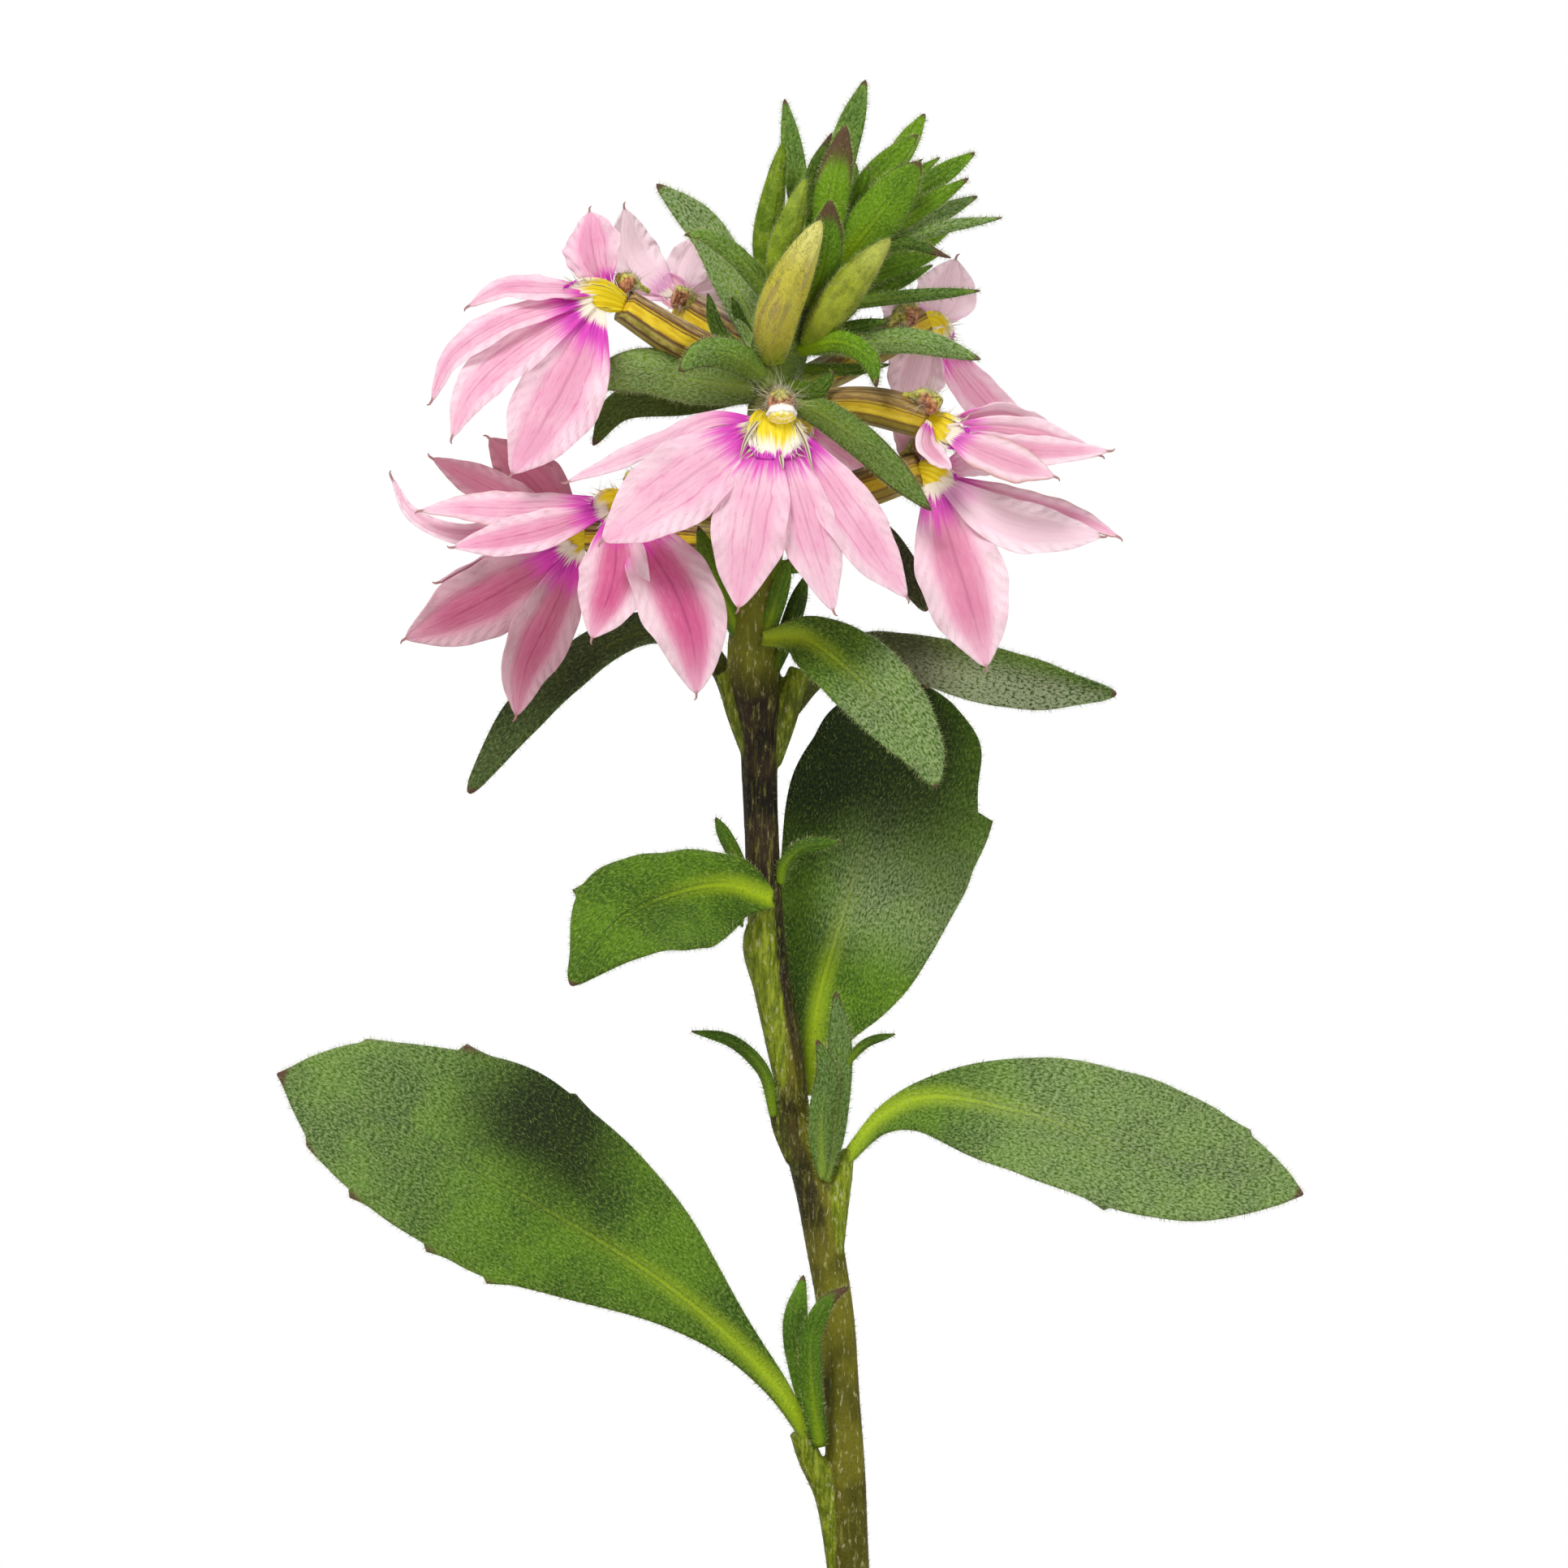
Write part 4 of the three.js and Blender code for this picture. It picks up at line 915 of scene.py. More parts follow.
# %% Loose grains
TOP_FACING = 0.4
GRAIN_FLATNESS = 0.75
GRAIN_SIZES = (0.4, 1.3)
GRAIN_KINDS = {
    "soil_crumbs": dict(colours=("2B1D14", "5A4230"), density=0.42, size=0.75, stretch=1.0, lift=0.15),
    "bark_bits": dict(colours=("3A2416", "7A5535"), density=0.09, size=0.7, stretch=2.4, lift=0.35),
    "white_grains": dict(colours=("CFCAC0", "F0EDE6"), density=0.035, size=0.8, stretch=1.0, lift=0.35),
}


def make_grain_tree():
    wire = Growth("crumbs", ["Density", "Size", "Stretch", "Lift"])
    given = wire.given
    size = given["Size"]
    facing = wire.calc("GREATER_THAN", wire.axes(wire.add("GeometryNodeInputNormal"))[2], TOP_FACING)
    high = wire.calc("GREATER_THAN", wire.axes(wire.position())[2], (SOIL_TOP - 1) * MM)
    points, _ = wire.scatter(given["Density"] * (facing * high))
    turn = wire.add("FunctionNodeEulerToRotation", {0: wire.any_way(0, FULL_TURN)})
    ball = wire.add("GeometryNodeMeshIcoSphere", {"Radius": 1.0, "Subdivisions": 1}, output="Mesh")
    dent = wire.add("ShaderNodeTexNoise", {"Scale": 1.3, "Detail": 2.0}) * 1.1 + 0.35
    dented = wire.moved(ball, Position=wire.scaled(wire.position(), dent))
    shape = wire.joined(X=size * given["Stretch"], Y=size, Z=size * GRAIN_FLATNESS)
    lifted = wire.moved(points, Offset=wire.joined(Z=given["Lift"]))
    return wire.end(lifted, dented, turn, wire.scaled(shape, wire.chance(*GRAIN_SIZES, 7)))


grain_tree = make_grain_tree()
for seed, (name, kind) in enumerate(GRAIN_KINDS.items()):
    finish = make_grain_finish(name + "_finish", *kind["colours"], 1500)
    grains = grown_on(soil_bed, name, grain_tree, finish, seed, density=kind["density"] / MM**2,
                      size=kind["size"] * MM, stretch=kind["stretch"], lift=kind["lift"] * MM)
    settle(grains, "soil")
    print(name, len(grains.data.polygons), "faces")

# %% [markdown]
# ## Green finishes
# Leaves, shoots and bracts share one way of colouring. The blade is a mottled green with a yellow-green
# midrib that glows near the root and fades towards the tip. Pale and dark grains lie over it, drawn out
# along the blade, partly its own speckle and partly painted highlight and shade on its granules. A line of
# painted shade lies beside the midrib's groove. Where the look numbers ask for it, the green turns grey
# with a painted sheen, darker with painted shade, or brown. Tips, teeth and rims are stained purple-brown,
# and a fine relief breaks the gloss into the grains seen on the real leaf.

# %% Green finishes
TIP_STAIN = "5E3A33"
GREY_UNDERSIDE_AND_SHEEN = "ACB892"
DEEP_SHADE = "131C08"
AGED_BROWN = "6A5746"


def make_green(name, deep, fresh, pale, rib, rib_reach=0.8, glow_width=1.2, grainy=1.0):
    """A leaf's finish. The three look numbers are how grey it is with a painted sheen, how deep it lies in
    painted shade, and how brown-stained the blade is.
    """
    paint = Finish(name, 0.38, specular=0.18)
    along = paint.carried("spot")[1]
    off_rib = abs(paint.carried("span")[0])
    greyness_and_sheen, painted_shade, brownness = paint.carried("look")
    grain = paint.noise(1.0, 4, 0.7, over=paint.vector("span"), stretch=(6.5, 3.2, 0))
    paint.base(deep, fresh, paint.noise(200, 4, 0.65).fade(0.32, 0.68))
    # Pale and dark grains: partly the leaf's own speckle, partly painted highlight and painted shade on its
    # granules.
    paint.coat(pale, grain.fade(0.46, 0.7) * (0.62 * grainy))
    paint.coat(DEEP_SHADE, grain.fade(0.52, 0.3) * (0.56 * grainy))
    root = along.fade(rib_reach, 0.05)
    paint.coat(rib, off_rib.fade(glow_width, 0.0) * root * along.fade(rib_reach, 0.0) * 0.95)
    paint.coat(rib, off_rib.fade(0.24, 0.04) * root * 0.4)
    # Painted shade along the sides of the midrib's groove.
    groove = off_rib.near(0.2, 0.14) * along.fade(0.1, 0.4) * along.fade(1.0, 0.8)
    paint.coat(DEEP_SHADE, groove * (0.35 * grainy))
    # Painted grey sheen where light catches the blade, mixed with its own grey tone; the back face is its own
    # greyer colour.
    paint.coat(GREY_UNDERSIDE_AND_SHEEN, greyness_and_sheen * grain.fade(0.38, 0.6) * 0.9)
    paint.coat(GREY_UNDERSIDE_AND_SHEEN, (1.0 - paint.number("face")) * 0.25)
    paint.coat(AGED_BROWN, brownness * 0.75)
    # Painted shade where other parts shadow the blade.
    paint.coat(DEEP_SHADE, painted_shade * grain.fade(1.0, 0.4) * 0.97)
    spotted = paint.number("stain") + (grain - 0.5) * 0.8
    paint.coat(TIP_STAIN, spotted.fade(0.35, 0.85) * 0.9)
    return paint.done(grain + paint.noise(4200, 2, 0.6) * 0.6, 0.15, through=0.06)


leaf_green = make_green("leaf_green_finish", "345804", "58800A", "96B044", "ACC81C")
shoot_green = make_green("shoot_green_finish", "3C6008", "5C8612", "92B048", "84A414", rib_reach=0.9,
                         glow_width=0.6, grainy=0.6)
bract_green = make_green("bract_green_finish", "4A7404", "6E9A08", "A4BE58", "98B80A", rib_reach=0.9,
                         grainy=0.75)
print("green finishes", leaf_green.name, shoot_green.name, bract_green.name)

# %% [markdown]
# ## How each large leaf looks
# A leaf in the shade of another, or one that has aged, isn't one colour. Each rule here gives three look
# numbers, how grey with a painted sheen, how deep in painted shade and how brown, for every place on its
# blade. Soft steps across and along draw the borders.

# %% How each large leaf looks
PLAIN = (0, 0, 0)


def lower_left_look(u, v):
    """A shadow falls across the upper half, and the outer half is paler."""
    shadow = smooth_step(u, -0.1, 0.5) * smooth_step(v - 0.04 * u, 0.39, 0.54) * smooth_step(v, 0.8, 0.64)
    return 0.05 + 0.3 * smooth_step(v, 0.55, 0.9), 0.98 * shadow, 0


def lower_right_look(u, v):
    """Greyer towards the tip."""
    return 0.1 + 0.4 * smooth_step(v, 0.2, 0.5), 0, 0


def back_look(u, v):
    """The upper part lies in deep shade, and light grazes the middle."""
    middle = smooth_step(v, 0.28, 0.48) * smooth_step(v, 0.85, 0.5) * smooth_step(u, -0.7, 0.2)
    above = smooth_step(v - 0.06 * u, 0.48, 0.82) * (1 - 0.45 * smooth_step(u, 0.45, 0.95))
    return 0.6 * middle, np.clip(above + 0.35 * smooth_step(u, 0, -0.8), 0, 1), 0


def upper_right_look(u, v):
    """Brown and in painted shade near its root, with a painted grey sheen on the upper side of its middle."""
    painted_sheen = smooth_step(v, 0.3, 0.5) * smooth_step(v, 1.1, 0.75) * smooth_step(u, -1.0, 0.2)
    return 0.2 + 1.5 * painted_sheen, 0.7 * smooth_step(v, 0.62, 0.4), 0.65 * smooth_step(v, 0.68, 0.4)


def upper_front_look(u, v):
    """Fresh near its root under a little painted shade, with a painted grey sheen where the blade turns down.
    """
    return 0.05 + 0.5 * smooth_step(v, 0.35, 0.6), 0.2 * (1 - v), 0


def upper_left_look(u, v):
    """In painted shade, most of all near its root, and a little brown all over."""
    return 0.1 + 0.15 * v, 0.85 - 0.25 * v, 0.25


print("look of the lower left leaf's middle", [round(float(share), 2) for share in lower_left_look(0.0, 0.5)])

# %% [markdown]
# ## The large leaves
# A fan flower's leaf is fleshy, narrow at its root and broad near its tip, with a few teeth. Each is one
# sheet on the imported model's line and widths. The front gets a groove along the midrib, low swellings and
# a slow wave along its rim, all by formula, because a formula gives each leaf its own seed.

# %% The large leaves
LEAF_THICKNESS = 0.55
LEAF_STEPS = (120, 26)
GROOVE_DEPTH = 0.24
GROOVE_WIDTH = 0.5
SWELLING = 0.05
RIM_WAVE = 0.05
RIM_FINE_WAVE = 0.02
TOOTH_STAIN = 1.5
LEAF_RIM_FUR = 14
LEAVES = {
    "leaf_lower_left": dict(
        line=[[-2.7, -1, 102.9], [-6, -3, 107.9], [-13.2, -6.4, 114.6], [-24.6, -10.4, 121.8],
              [-36.6, -13, 128.4], [-42.3, -13.8, 130.7]],
        right=[0.4, 0.8, 1.7, 3.6, 5.8, 7, 7.8, 7.8, 6.3, 4.3, 0.3],
        left=[0.5, 0.8, 1.3, 2.4, 3.9, 5.3, 6.6, 6.9, 6.5, 5, 0.3],
        teeth=([[0.6, 0.5], [0.7, 0.5], [0.84, 0.6], [0.93, 0.5]], [[0.6, 0.3], [0.77, 0.6], [0.9, 0.3]]),
        lean=-0.45, cup=0.1, look=lower_left_look),
    "leaf_lower_right": dict(
        line=[[-0.6, -0.6, 124.2], [2.1, -1.8, 127.4], [5.4, -3.2, 128.8], [12.6, -6, 127.7],
              [22.2, -8.8, 124.4], [33.2, -10.2, 121.8]],
        left=[0.4, 0.5, 1.1, 2.6, 4, 4.9, 5.3, 5.1, 4.3, 2.7, 0.3],
        right=[0.5, 1.2, 2.4, 3.6, 4.4, 4.7, 4.7, 4.5, 3.9, 2.5, 0.3],
        teeth=([[0.87, 0.3]], [[0.66, 0.4]]), lean=0.45, cup=0.1, look=lower_right_look),
    "leaf_back": dict(
        line=[[-3.1, 1.4, 129], [-2.7, 3, 134.9], [-1.2, 5.6, 140.6], [1, 8.2, 147.5], [3, 9.8, 153.5],
              [4.4, 10.4, 159.8]],
        left=[0.7, 1.4, 2.3, 3.4, 4.6, 5.6, 6.5, 6.9, 6.3, 5.2, 1.2],
        right=[0.6, 2.1, 4.6, 6.1, 7, 7.6, 8.1, 7.8, 6.6, 5.7, 1.8],
        teeth=([], [[0.757, 1.2, 0.13]]), lean=-0.1, cup=0.14, look=back_look, tooth_stain=0.3),
    "leaf_middle_left": dict(
        line=[[-5.9, -1.6, 143.4], [-9, -3.8, 144.4], [-12.5, -6.2, 144], [-17, -9, 141.9],
              [-20.8, -10.4, 137.2]],
        right=[0.6, 1.8, 2.3, 2.7, 3, 3.5, 3.9, 3.7, 2.6, 1.3, 0.3],
        left=[0.6, 1.6, 2.8, 3.7, 4.4, 4.7, 4.5, 3.9, 2.8, 1.5, 0.3],
        teeth=([[0.2, 0.5]], [[0.72, 0.6]]), lean=-0.6, cup=0.08, look=(0, 0.1, 0)),
    "leaf_upper_front": dict(
        line=[[-6.6, -1.9, 162.7], [-3.6, -3.9, 162.7], [-0.6, -6.2, 160.6], [2.4, -8, 157.6],
              [4.9, -9, 154.4], [6.2, -9.2, 151.7]],
        left=[0.5, 1, 1.9, 2.6, 3, 3.1, 3, 2.8, 2.2, 1.5, 0.3],
        right=[0.5, 0.9, 1.8, 2.3, 2.4, 2.5, 2.4, 2.2, 1.8, 1.1, 0.3],
        lean=0.25, cup=0.12, look=upper_front_look),
    "leaf_upper_right": dict(
        line=[[-4.9, 1.5, 157], [-2.5, 2.6, 160.2], [0.9, 4.2, 161.9], [3.5, 5.2, 161.7], [8, 5.8, 160.6],
              [14, 6, 159.3], [19.6, 5.6, 158.6]],
        left=[0.6, 0.8, 1, 1.3, 1.6, 1.9, 2.2, 2.1, 1.8, 1.1, 0.3],
        right=[0.6, 0.8, 1, 1.3, 1.6, 1.8, 2.1, 2, 1.7, 1, 0.3],
        lean=-0.5, cup=0.15, look=upper_right_look),
    "leaf_upper_left": dict(
        line=[[-8.7, 1.3, 157.6], [-9.9, 2.4, 160.6], [-12.6, 4.8, 162.8], [-16, 7.4, 163],
              [-20.5, 9.2, 160.5], [-24.5, 9.8, 156.7], [-28.5, 9.8, 151.3]],
        left=[0.6, 0.6, 0.7, 0.8, 1, 1.2, 1.4, 1.4, 1.3, 0.9, 0.3],
        right=[0.6, 0.7, 0.9, 1.2, 1.5, 1.7, 1.7, 1.6, 1.4, 0.9, 0.3],
        lean=-0.8, cup=0.15, look=upper_left_look),
    "leaf_behind_flower": dict(
        line=[[-4.7, 1.8, 171.4], [-1.7, 3.6, 171.9], [1.8, 5, 169.8], [4.1, 5.4, 167.2], [5.6, 5.2, 164.8]],
        left=[0.6, 1.1, 1.5, 1.5, 1.1, 0.3], right=[0.6, 1.1, 1.5, 1.5, 1.1, 0.3],
        lean=0.4, cup=0.15, look=(0.2, 0.75, 0.7)),
}


def leaf_relief(seed):
    """The rise of a leaf's face over its plain form, in millimetres."""
    def rise(u, v, half):
        off_rib = np.abs(u) * half
        groove = -GROOVE_DEPTH * np.exp(-((off_rib / GROOVE_WIDTH) ** 2)) * (1 - 0.6 * v)
        x, y = 1.5 * u * half + 9 * seed, half.max() * 6 * v
        pillow = SWELLING * np.sin(x + 1.2 * np.sin(0.8 * y)) * np.sin(1.3 * y + np.sin(1.1 * x))
        pillow = pillow * np.sin(np.pi * np.clip(np.abs(u), 0, 1)) * np.sin(np.pi * v)
        wave = RIM_WAVE * half * u**2 * np.sin(2 * np.pi * (1.7 * v + seed) + 1.4 * np.sign(u))
        fine = RIM_FINE_WAVE * half * u**4 * np.sin(2 * np.pi * (6.3 * v + 3 * seed) + np.sign(u))
        return groove + pillow + wave + fine
    return rise


def leaf_stain(tooth_stain):
    """The tip, the teeth and a little of the rim turn brown."""
    def stain(u, v, teeth_here):
        rim = np.abs(u) ** 8
        tips = smooth_step(v, 0.97, 1.0) + tooth_stain * rim * teeth_here
        return np.clip(tips + 0.3 * rim * smooth_step(v, 0.3, 0.9), 0, 1)
    return stain


def rim_fur(power):
    """Short fur everywhere, and a fringe on the rim that is the narrower the higher the power."""
    return lambda u, v: 0.6 + 4 * np.abs(u) ** power


for seed, (name, leaf) in enumerate(LEAVES.items()):
    share = seed / len(LEAVES)
    part = sheet(leaf["line"], leaf["left"], leaf["right"], LEAF_THICKNESS, LEAF_STEPS, lean=leaf["lean"],
                 cup=leaf["cup"], teeth=leaf.get("teeth", NO_TEETH), relief=leaf_relief(share),
                 stain=leaf_stain(leaf.get("tooth_stain", TOOTH_STAIN)), fur=rim_fur(LEAF_RIM_FUR),
                 look=leaf["look"], seed=share)
    blade = settle(join_parts("blade_" + name, [part], [leaf_green]), "leaf", name)
    add_hairs(blade, leaf_hair, "leaf", seed, density=8, length=0.4, width=0.018, lie=0.8, tangle=0.4)
    print(blade.name, len(blade.data.polygons), "faces and", hair_faces[-1], "hair faces")

# %% [markdown]
# ## Small green blades
# Bracts and the leaflets of young shoots are spear shaped, folded a little along the midrib, with hairy
# rims. Those in front show their round backs, and those behind show their hollow insides, so the fold
# changes its sign with the side of the stem on which the tip lies.

# %% Small green blades
BRACT_THICKNESS = 0.42
BRACT_STEPS = (30, 12)
SHOOT_STEPS = (40, 12)
BRACT_SHAPE = [0.6, 0.86, 1, 1, 0.8, 0.14]
BRACT_RIM_FUR = 12
BRACT_GROOVE = 0.05
BRACT_GROOVE_WIDTH = 0.16
BRACT_WAVE = 0.04
FOLD = 0.3
HOLLOW_FOLD = FOLD * 0.7
IN_FRONT = 0.3
SEED_STEP = 0.37


def bract(line, half, lean=0, look=PLAIN, reach=0.05, rim=0.55, root=1):
    """A bract's row. Reach and rim say how far its tip and how much its rim are stained."""
    return dict(line=line, half=half, lean=lean, look=look, reach=reach, rim=rim, root=root)


def bract_relief(u, v, half):
    groove = BRACT_GROOVE * np.exp(-((np.abs(u) * half / BRACT_GROOVE_WIDTH) ** 2)) * (1 - v)
    return groove + BRACT_WAVE * half * u**2 * np.sin(9 * v)


def make_bract(row, seed, steps=BRACT_STEPS, finish=0):
    """A small folded sheet from its row."""
    front = row["line"][-1][1] < row["line"][0][1] - IN_FRONT
    widths = [share * row["half"] for share in [BRACT_SHAPE[0] * row["root"], *BRACT_SHAPE[1:]]]

    def stain(u, v, teeth_here):
        rim = np.abs(u) ** 6 * smooth_step(v, 0.25, 0.9) * row["rim"]
        return np.clip(smooth_step(v, 1 - 1.5 * row["reach"], 1) + rim, 0, 1)

    return sheet(row["line"], widths, widths, BRACT_THICKNESS, steps, lean=row["lean"], look=row["look"],
                 cup=-FOLD if front else HOLLOW_FOLD, relief=bract_relief, stain=stain,
                 fur=rim_fur(BRACT_RIM_FUR), seed=seed, finish=finish)


SHOOTS = {
    "shoot_low": [
        bract([[-2.4, -1.5, 103.4], [-3.6, -2.2, 108.4], [-4.2, -2.4, 112], [-3.6, -2.2, 115.7]], 1),
        bract([[-2.4, -1.8, 103], [-3, -3.1, 107.5], [-3, -3.7, 111.3], [-1.8, -4, 113.8],
               [-0.2, -3.9, 114.9]], 0.8, reach=0.16),
    ],
    "shoot_right": [
        bract([[-1.9, -1.4, 122.6], [-1.2, -2, 128], [-0.9, -2.4, 132.5], [-1.2, -2.6, 136.7]], 0.95,
              root=0.4, look=(0.35, 0.15, 0), rim=0.9),
        bract([[-2.2, -1.6, 122.8], [-2.3, -3, 127.5], [-1.9, -3.5, 130.8], [-2.6, -3.7, 133.1]], 0.9,
              root=0.4, look=(0.25, 0.1, 0), rim=0.9),
        bract([[-0.9, -2, 130.8], [1, -2.3, 132.8], [3.2, -2.3, 133.5]], 0.35, look=(0, 0.4, 0)),
    ],
    "shoot_left": [
        bract([[-5.8, -1, 127.4], [-6.4, -1.3, 130.4], [-7.6, -1.5, 132], [-9.2, -1.6, 133.1],
               [-11.9, -1.6, 133.7]], 0.5, look=(0, 0.3, 0)),
    ],
    "leaflet_upper_left": [
        bract([[-7.9, -0.6, 145.4], [-8.9, -1, 147.2], [-10.1, -1.2, 149.5]], 0.55, look=(0, 0.4, 0)),
    ],
    "leaflet_upper_right": [
        bract([[-5.3, -1, 144.6], [-5, -1.5, 146], [-3.6, -2, 147.3], [-0.9, -2.2, 147.7]], 0.55,
              look=(0, 0.3, 0)),
    ],
}

for seed, (name, rows) in enumerate(SHOOTS.items()):
    parts = [make_bract(row, (seed + SEED_STEP * place) % 1, SHOOT_STEPS) for place, row in enumerate(rows)]
    blade = settle(join_parts("blades_" + name, parts, [shoot_green]), "shoot", name)
    add_hairs(blade, leaf_hair, "shoot", seed, density=11, length=0.4, lie=0.7, tangle=0.4)
print(len(SHOOTS), "young shoots")

# %% [markdown]
# ## The stem's finish
# The stem is olive green with pale flecks and runs of fibres, and fresh green on its ridges. Below the
# flowers and in long patches further down it is dark purple-brown, partly its own stain and partly painted
# shade. The patches have fixed heights, because they belong to this one stem, and the fibres break their
# borders.

# %% The stem's finish
DARK_BEGINS = (141, 145)
DARK_ENDS = (161, 157.5)


def make_stem_finish():
    """Its stain number is how much of the place is ridge, and its span number runs from left to right."""
    paint = Finish("stem_finish", 0.5, specular=0.12)
    height = paint.axes(paint.place())[2] * (1 / MM)
    side = paint.carried("span")[0]
    ridge = paint.number("stain").fade(0.3, 0.8)
    fibre = paint.noise(1.0, 4, 0.7, stretch=(3200, 3200, 600))
    cloud = paint.noise(350, 3).fade(*SOFT)
    paint.base("4E4C0C", "6C6A18", cloud)
    paint.coat("9C9B4C", fibre.fade(0.52, 0.7) * 0.5)
    paint.coat("6F7E1C", height.fade(158, 164) * 0.4)
    paint.coat(paint.mixed("56680A", "92A02C", fibre.fade(0.38, 0.66)), ridge * 0.9)
    # Dark purple-brown below the flowers and in long patches: partly the stem's own stain, partly painted
    # shade.
    below_flowers = height.fade(*DARK_BEGINS) * height.fade(*DARK_ENDS) * (1.0 - ridge * 0.6)
    right_strip = height.fade(126, 134) * height.fade(148, 144) * side.fade(0.2, 0.5) * 0.95
    left_patch = height.fade(115, 121) * height.fade(131, 128) * side.fade(0.35, 0.0) * 0.8
    shade = below_flowers.most(right_strip.most(left_patch)) * fibre.fade(0.85, 0.45)
    paint.coat(paint.mixed("100B06", "2E2116", cloud), shade)
    flecks = paint.noise(1.0, 2, stretch=(4000, 4000, 1400)).fade(0.6, 0.68)
    paint.coat("BDB98C", flecks * (1.0 - shade * 0.85) * 0.5)
    return paint.done(fibre + paint.noise(3500, 2) * 0.7, 0.12)


stem_finish = make_stem_finish()
print(stem_finish.name, "has", len(stem_finish.node_tree.nodes), "nodes")

# %% [markdown]
# ## The stem
# The stem is a fleshy rod with low ridges, where leaf bases run down it. Rod and ridges start as
# overlapping stalks. A voxel remesh draws one skin over them and a few rounds of smoothing soften it,
# because on the real plant they flow into each other. Each corner then works out how much of it is ridge.

# %% The stem
STEM_STEPS = (240, 48)
RIDGE_STEPS = (40, 20)
SKIN_GRAIN = 0.17
SKIN_ROUNDS = 7
RIDGE_BLEND = 0.5
RIDGE_BORDER = 0.1
RIDGE_PLACES = 40
STEM_PLACES = 400
STEM_HAIR_SEED = 31

STEM = [
    [0.4, 0, 58, 1.3], [0, 0, 76, 1.55], [-0.25, 0, 94, 1.55], [-0.7, 0, 105.5, 1.4], [-1.2, 0, 112.7, 1.35],
    [-1.9, 0, 117.5, 1.4], [-2.4, 0, 120.6, 1.45], [-3.9, 0, 125.9, 1.2], [-4.8, 0, 131.9, 1.2],
    [-5.9, 0, 137.9, 1.3], [-6.5, 0, 143.9, 1.3], [-6.7, 0, 149.9, 1.26], [-6.9, 0, 155.4, 1.4],
    [-7.2, 0, 159.6, 1.9], [-7.2, 0, 163, 1.8], [-6.8, 0, 168, 1.6], [-6.3, 0, 174, 1.7], [-5.8, 0, 180, 1.9],
]
STEM_RIDGES = [
    [[-4, -1.1, 104.2, 0.7], [-3.2, -0.8, 102.3, 0.9], [-2, -0.5, 99.3, 0.8], [-1, -0.3, 92, 0.6]],
    [[-0.3, -0.5, 125, 0.5], [-0.8, -0.4, 122.6, 0.8], [-1.2, -0.3, 117.5, 0.6]],
    [[-6.1, -1.3, 143.4, 0.6], [-6.8, -0.9, 140.4, 1.3], [-6.3, -0.8, 136.8, 1], [-5.2, -0.5, 130, 0.6]],
    [[-5.9, -0.5, 129.6, 0.45], [-5.4, -0.5, 126.8, 0.6], [-4.4, -0.4, 124, 0.5]],
    [[-9.6, 0.3, 160.2, 0.5], [-8.6, 0.3, 157.4, 0.8], [-7.4, 0.2, 153.6, 0.6]],
    [[-3.9, 0.4, 160.5, 0.8], [-5, 0.4, 157, 1], [-5.9, 0.3, 153.5, 0.7]],
]
STEM_BRACTS = [
    bract([[-8, -0.6, 162.4], [-9.6, -1, 166], [-11.4, -1.2, 171]], 0.9),
    bract([[-5.8, -0.8, 160.4], [-4.7, -1.2, 163.6], [-3.4, -1.4, 167.4]], 0.7, lean=0.3, look=(0, 0.6, 0)),
    bract([[-6.4, -1.4, 162.6], [-5.6, -1.9, 165.6], [-4.7, -2, 168.6]], 0.7, lean=0.2),
    bract([[-6.4, -1, 166.5], [-5.2, -1.4, 168], [-3.9, -1.4, 167.6]], 0.5),
]


def stem_relief(a, v, radius):
    ribs = 0.05 * np.cos(5 * a + 3 * v) + 0.025 * np.cos(9 * a - 5 * v)
    return radius * ribs + 0.03 * np.sin(70 * v + 2 * np.sin(a))


def one_skin(parts):
    """Corners and faces of one soft skin over stalks that overlap, in millimetres."""
    rough = join_parts("rough_stem", parts, [])
    rough.data.transform(Matrix.Scale(1 / MM, 4))
    skin = rough.modifiers.new("skin", "REMESH")
    skin.mode = "VOXEL"
    skin.voxel_size = SKIN_GRAIN
    softness = rough.modifiers.new("softness", "SMOOTH")
    softness.factor = 0.5
    softness.iterations = SKIN_ROUNDS
    graph = bpy.context.evaluated_depsgraph_get()
    mesh = bpy.data.meshes.new_from_object(rough.evaluated_get(graph), depsgraph=graph)
    corners = np.empty(3 * len(mesh.vertices))
    mesh.vertices.foreach_get("co", corners)
    faces = [list(face.vertices) for face in mesh.polygons]
    bpy.data.objects.remove(rough)
    bpy.data.meshes.remove(mesh)
    return corners.reshape(-1, 3), faces


def ridge_share(corners):
    """1 on a ridge and 0 on the rod, with a soft border."""
    share = np.zeros(len(corners))
    for ridge in STEM_RIDGES:
        rows = np.array(ridge)
        centre, _, params, _ = smooth_line(rows[:, :3], np.linspace(0, 1, RIDGE_PLACES))
        gap = np.linalg.norm(corners[:, None] - centre[None], axis=2) - spread(rows[:, 3], params)
        share = np.maximum(share, smooth_step(-gap.min(axis=1), -RIDGE_BLEND, RIDGE_BORDER))
    return share


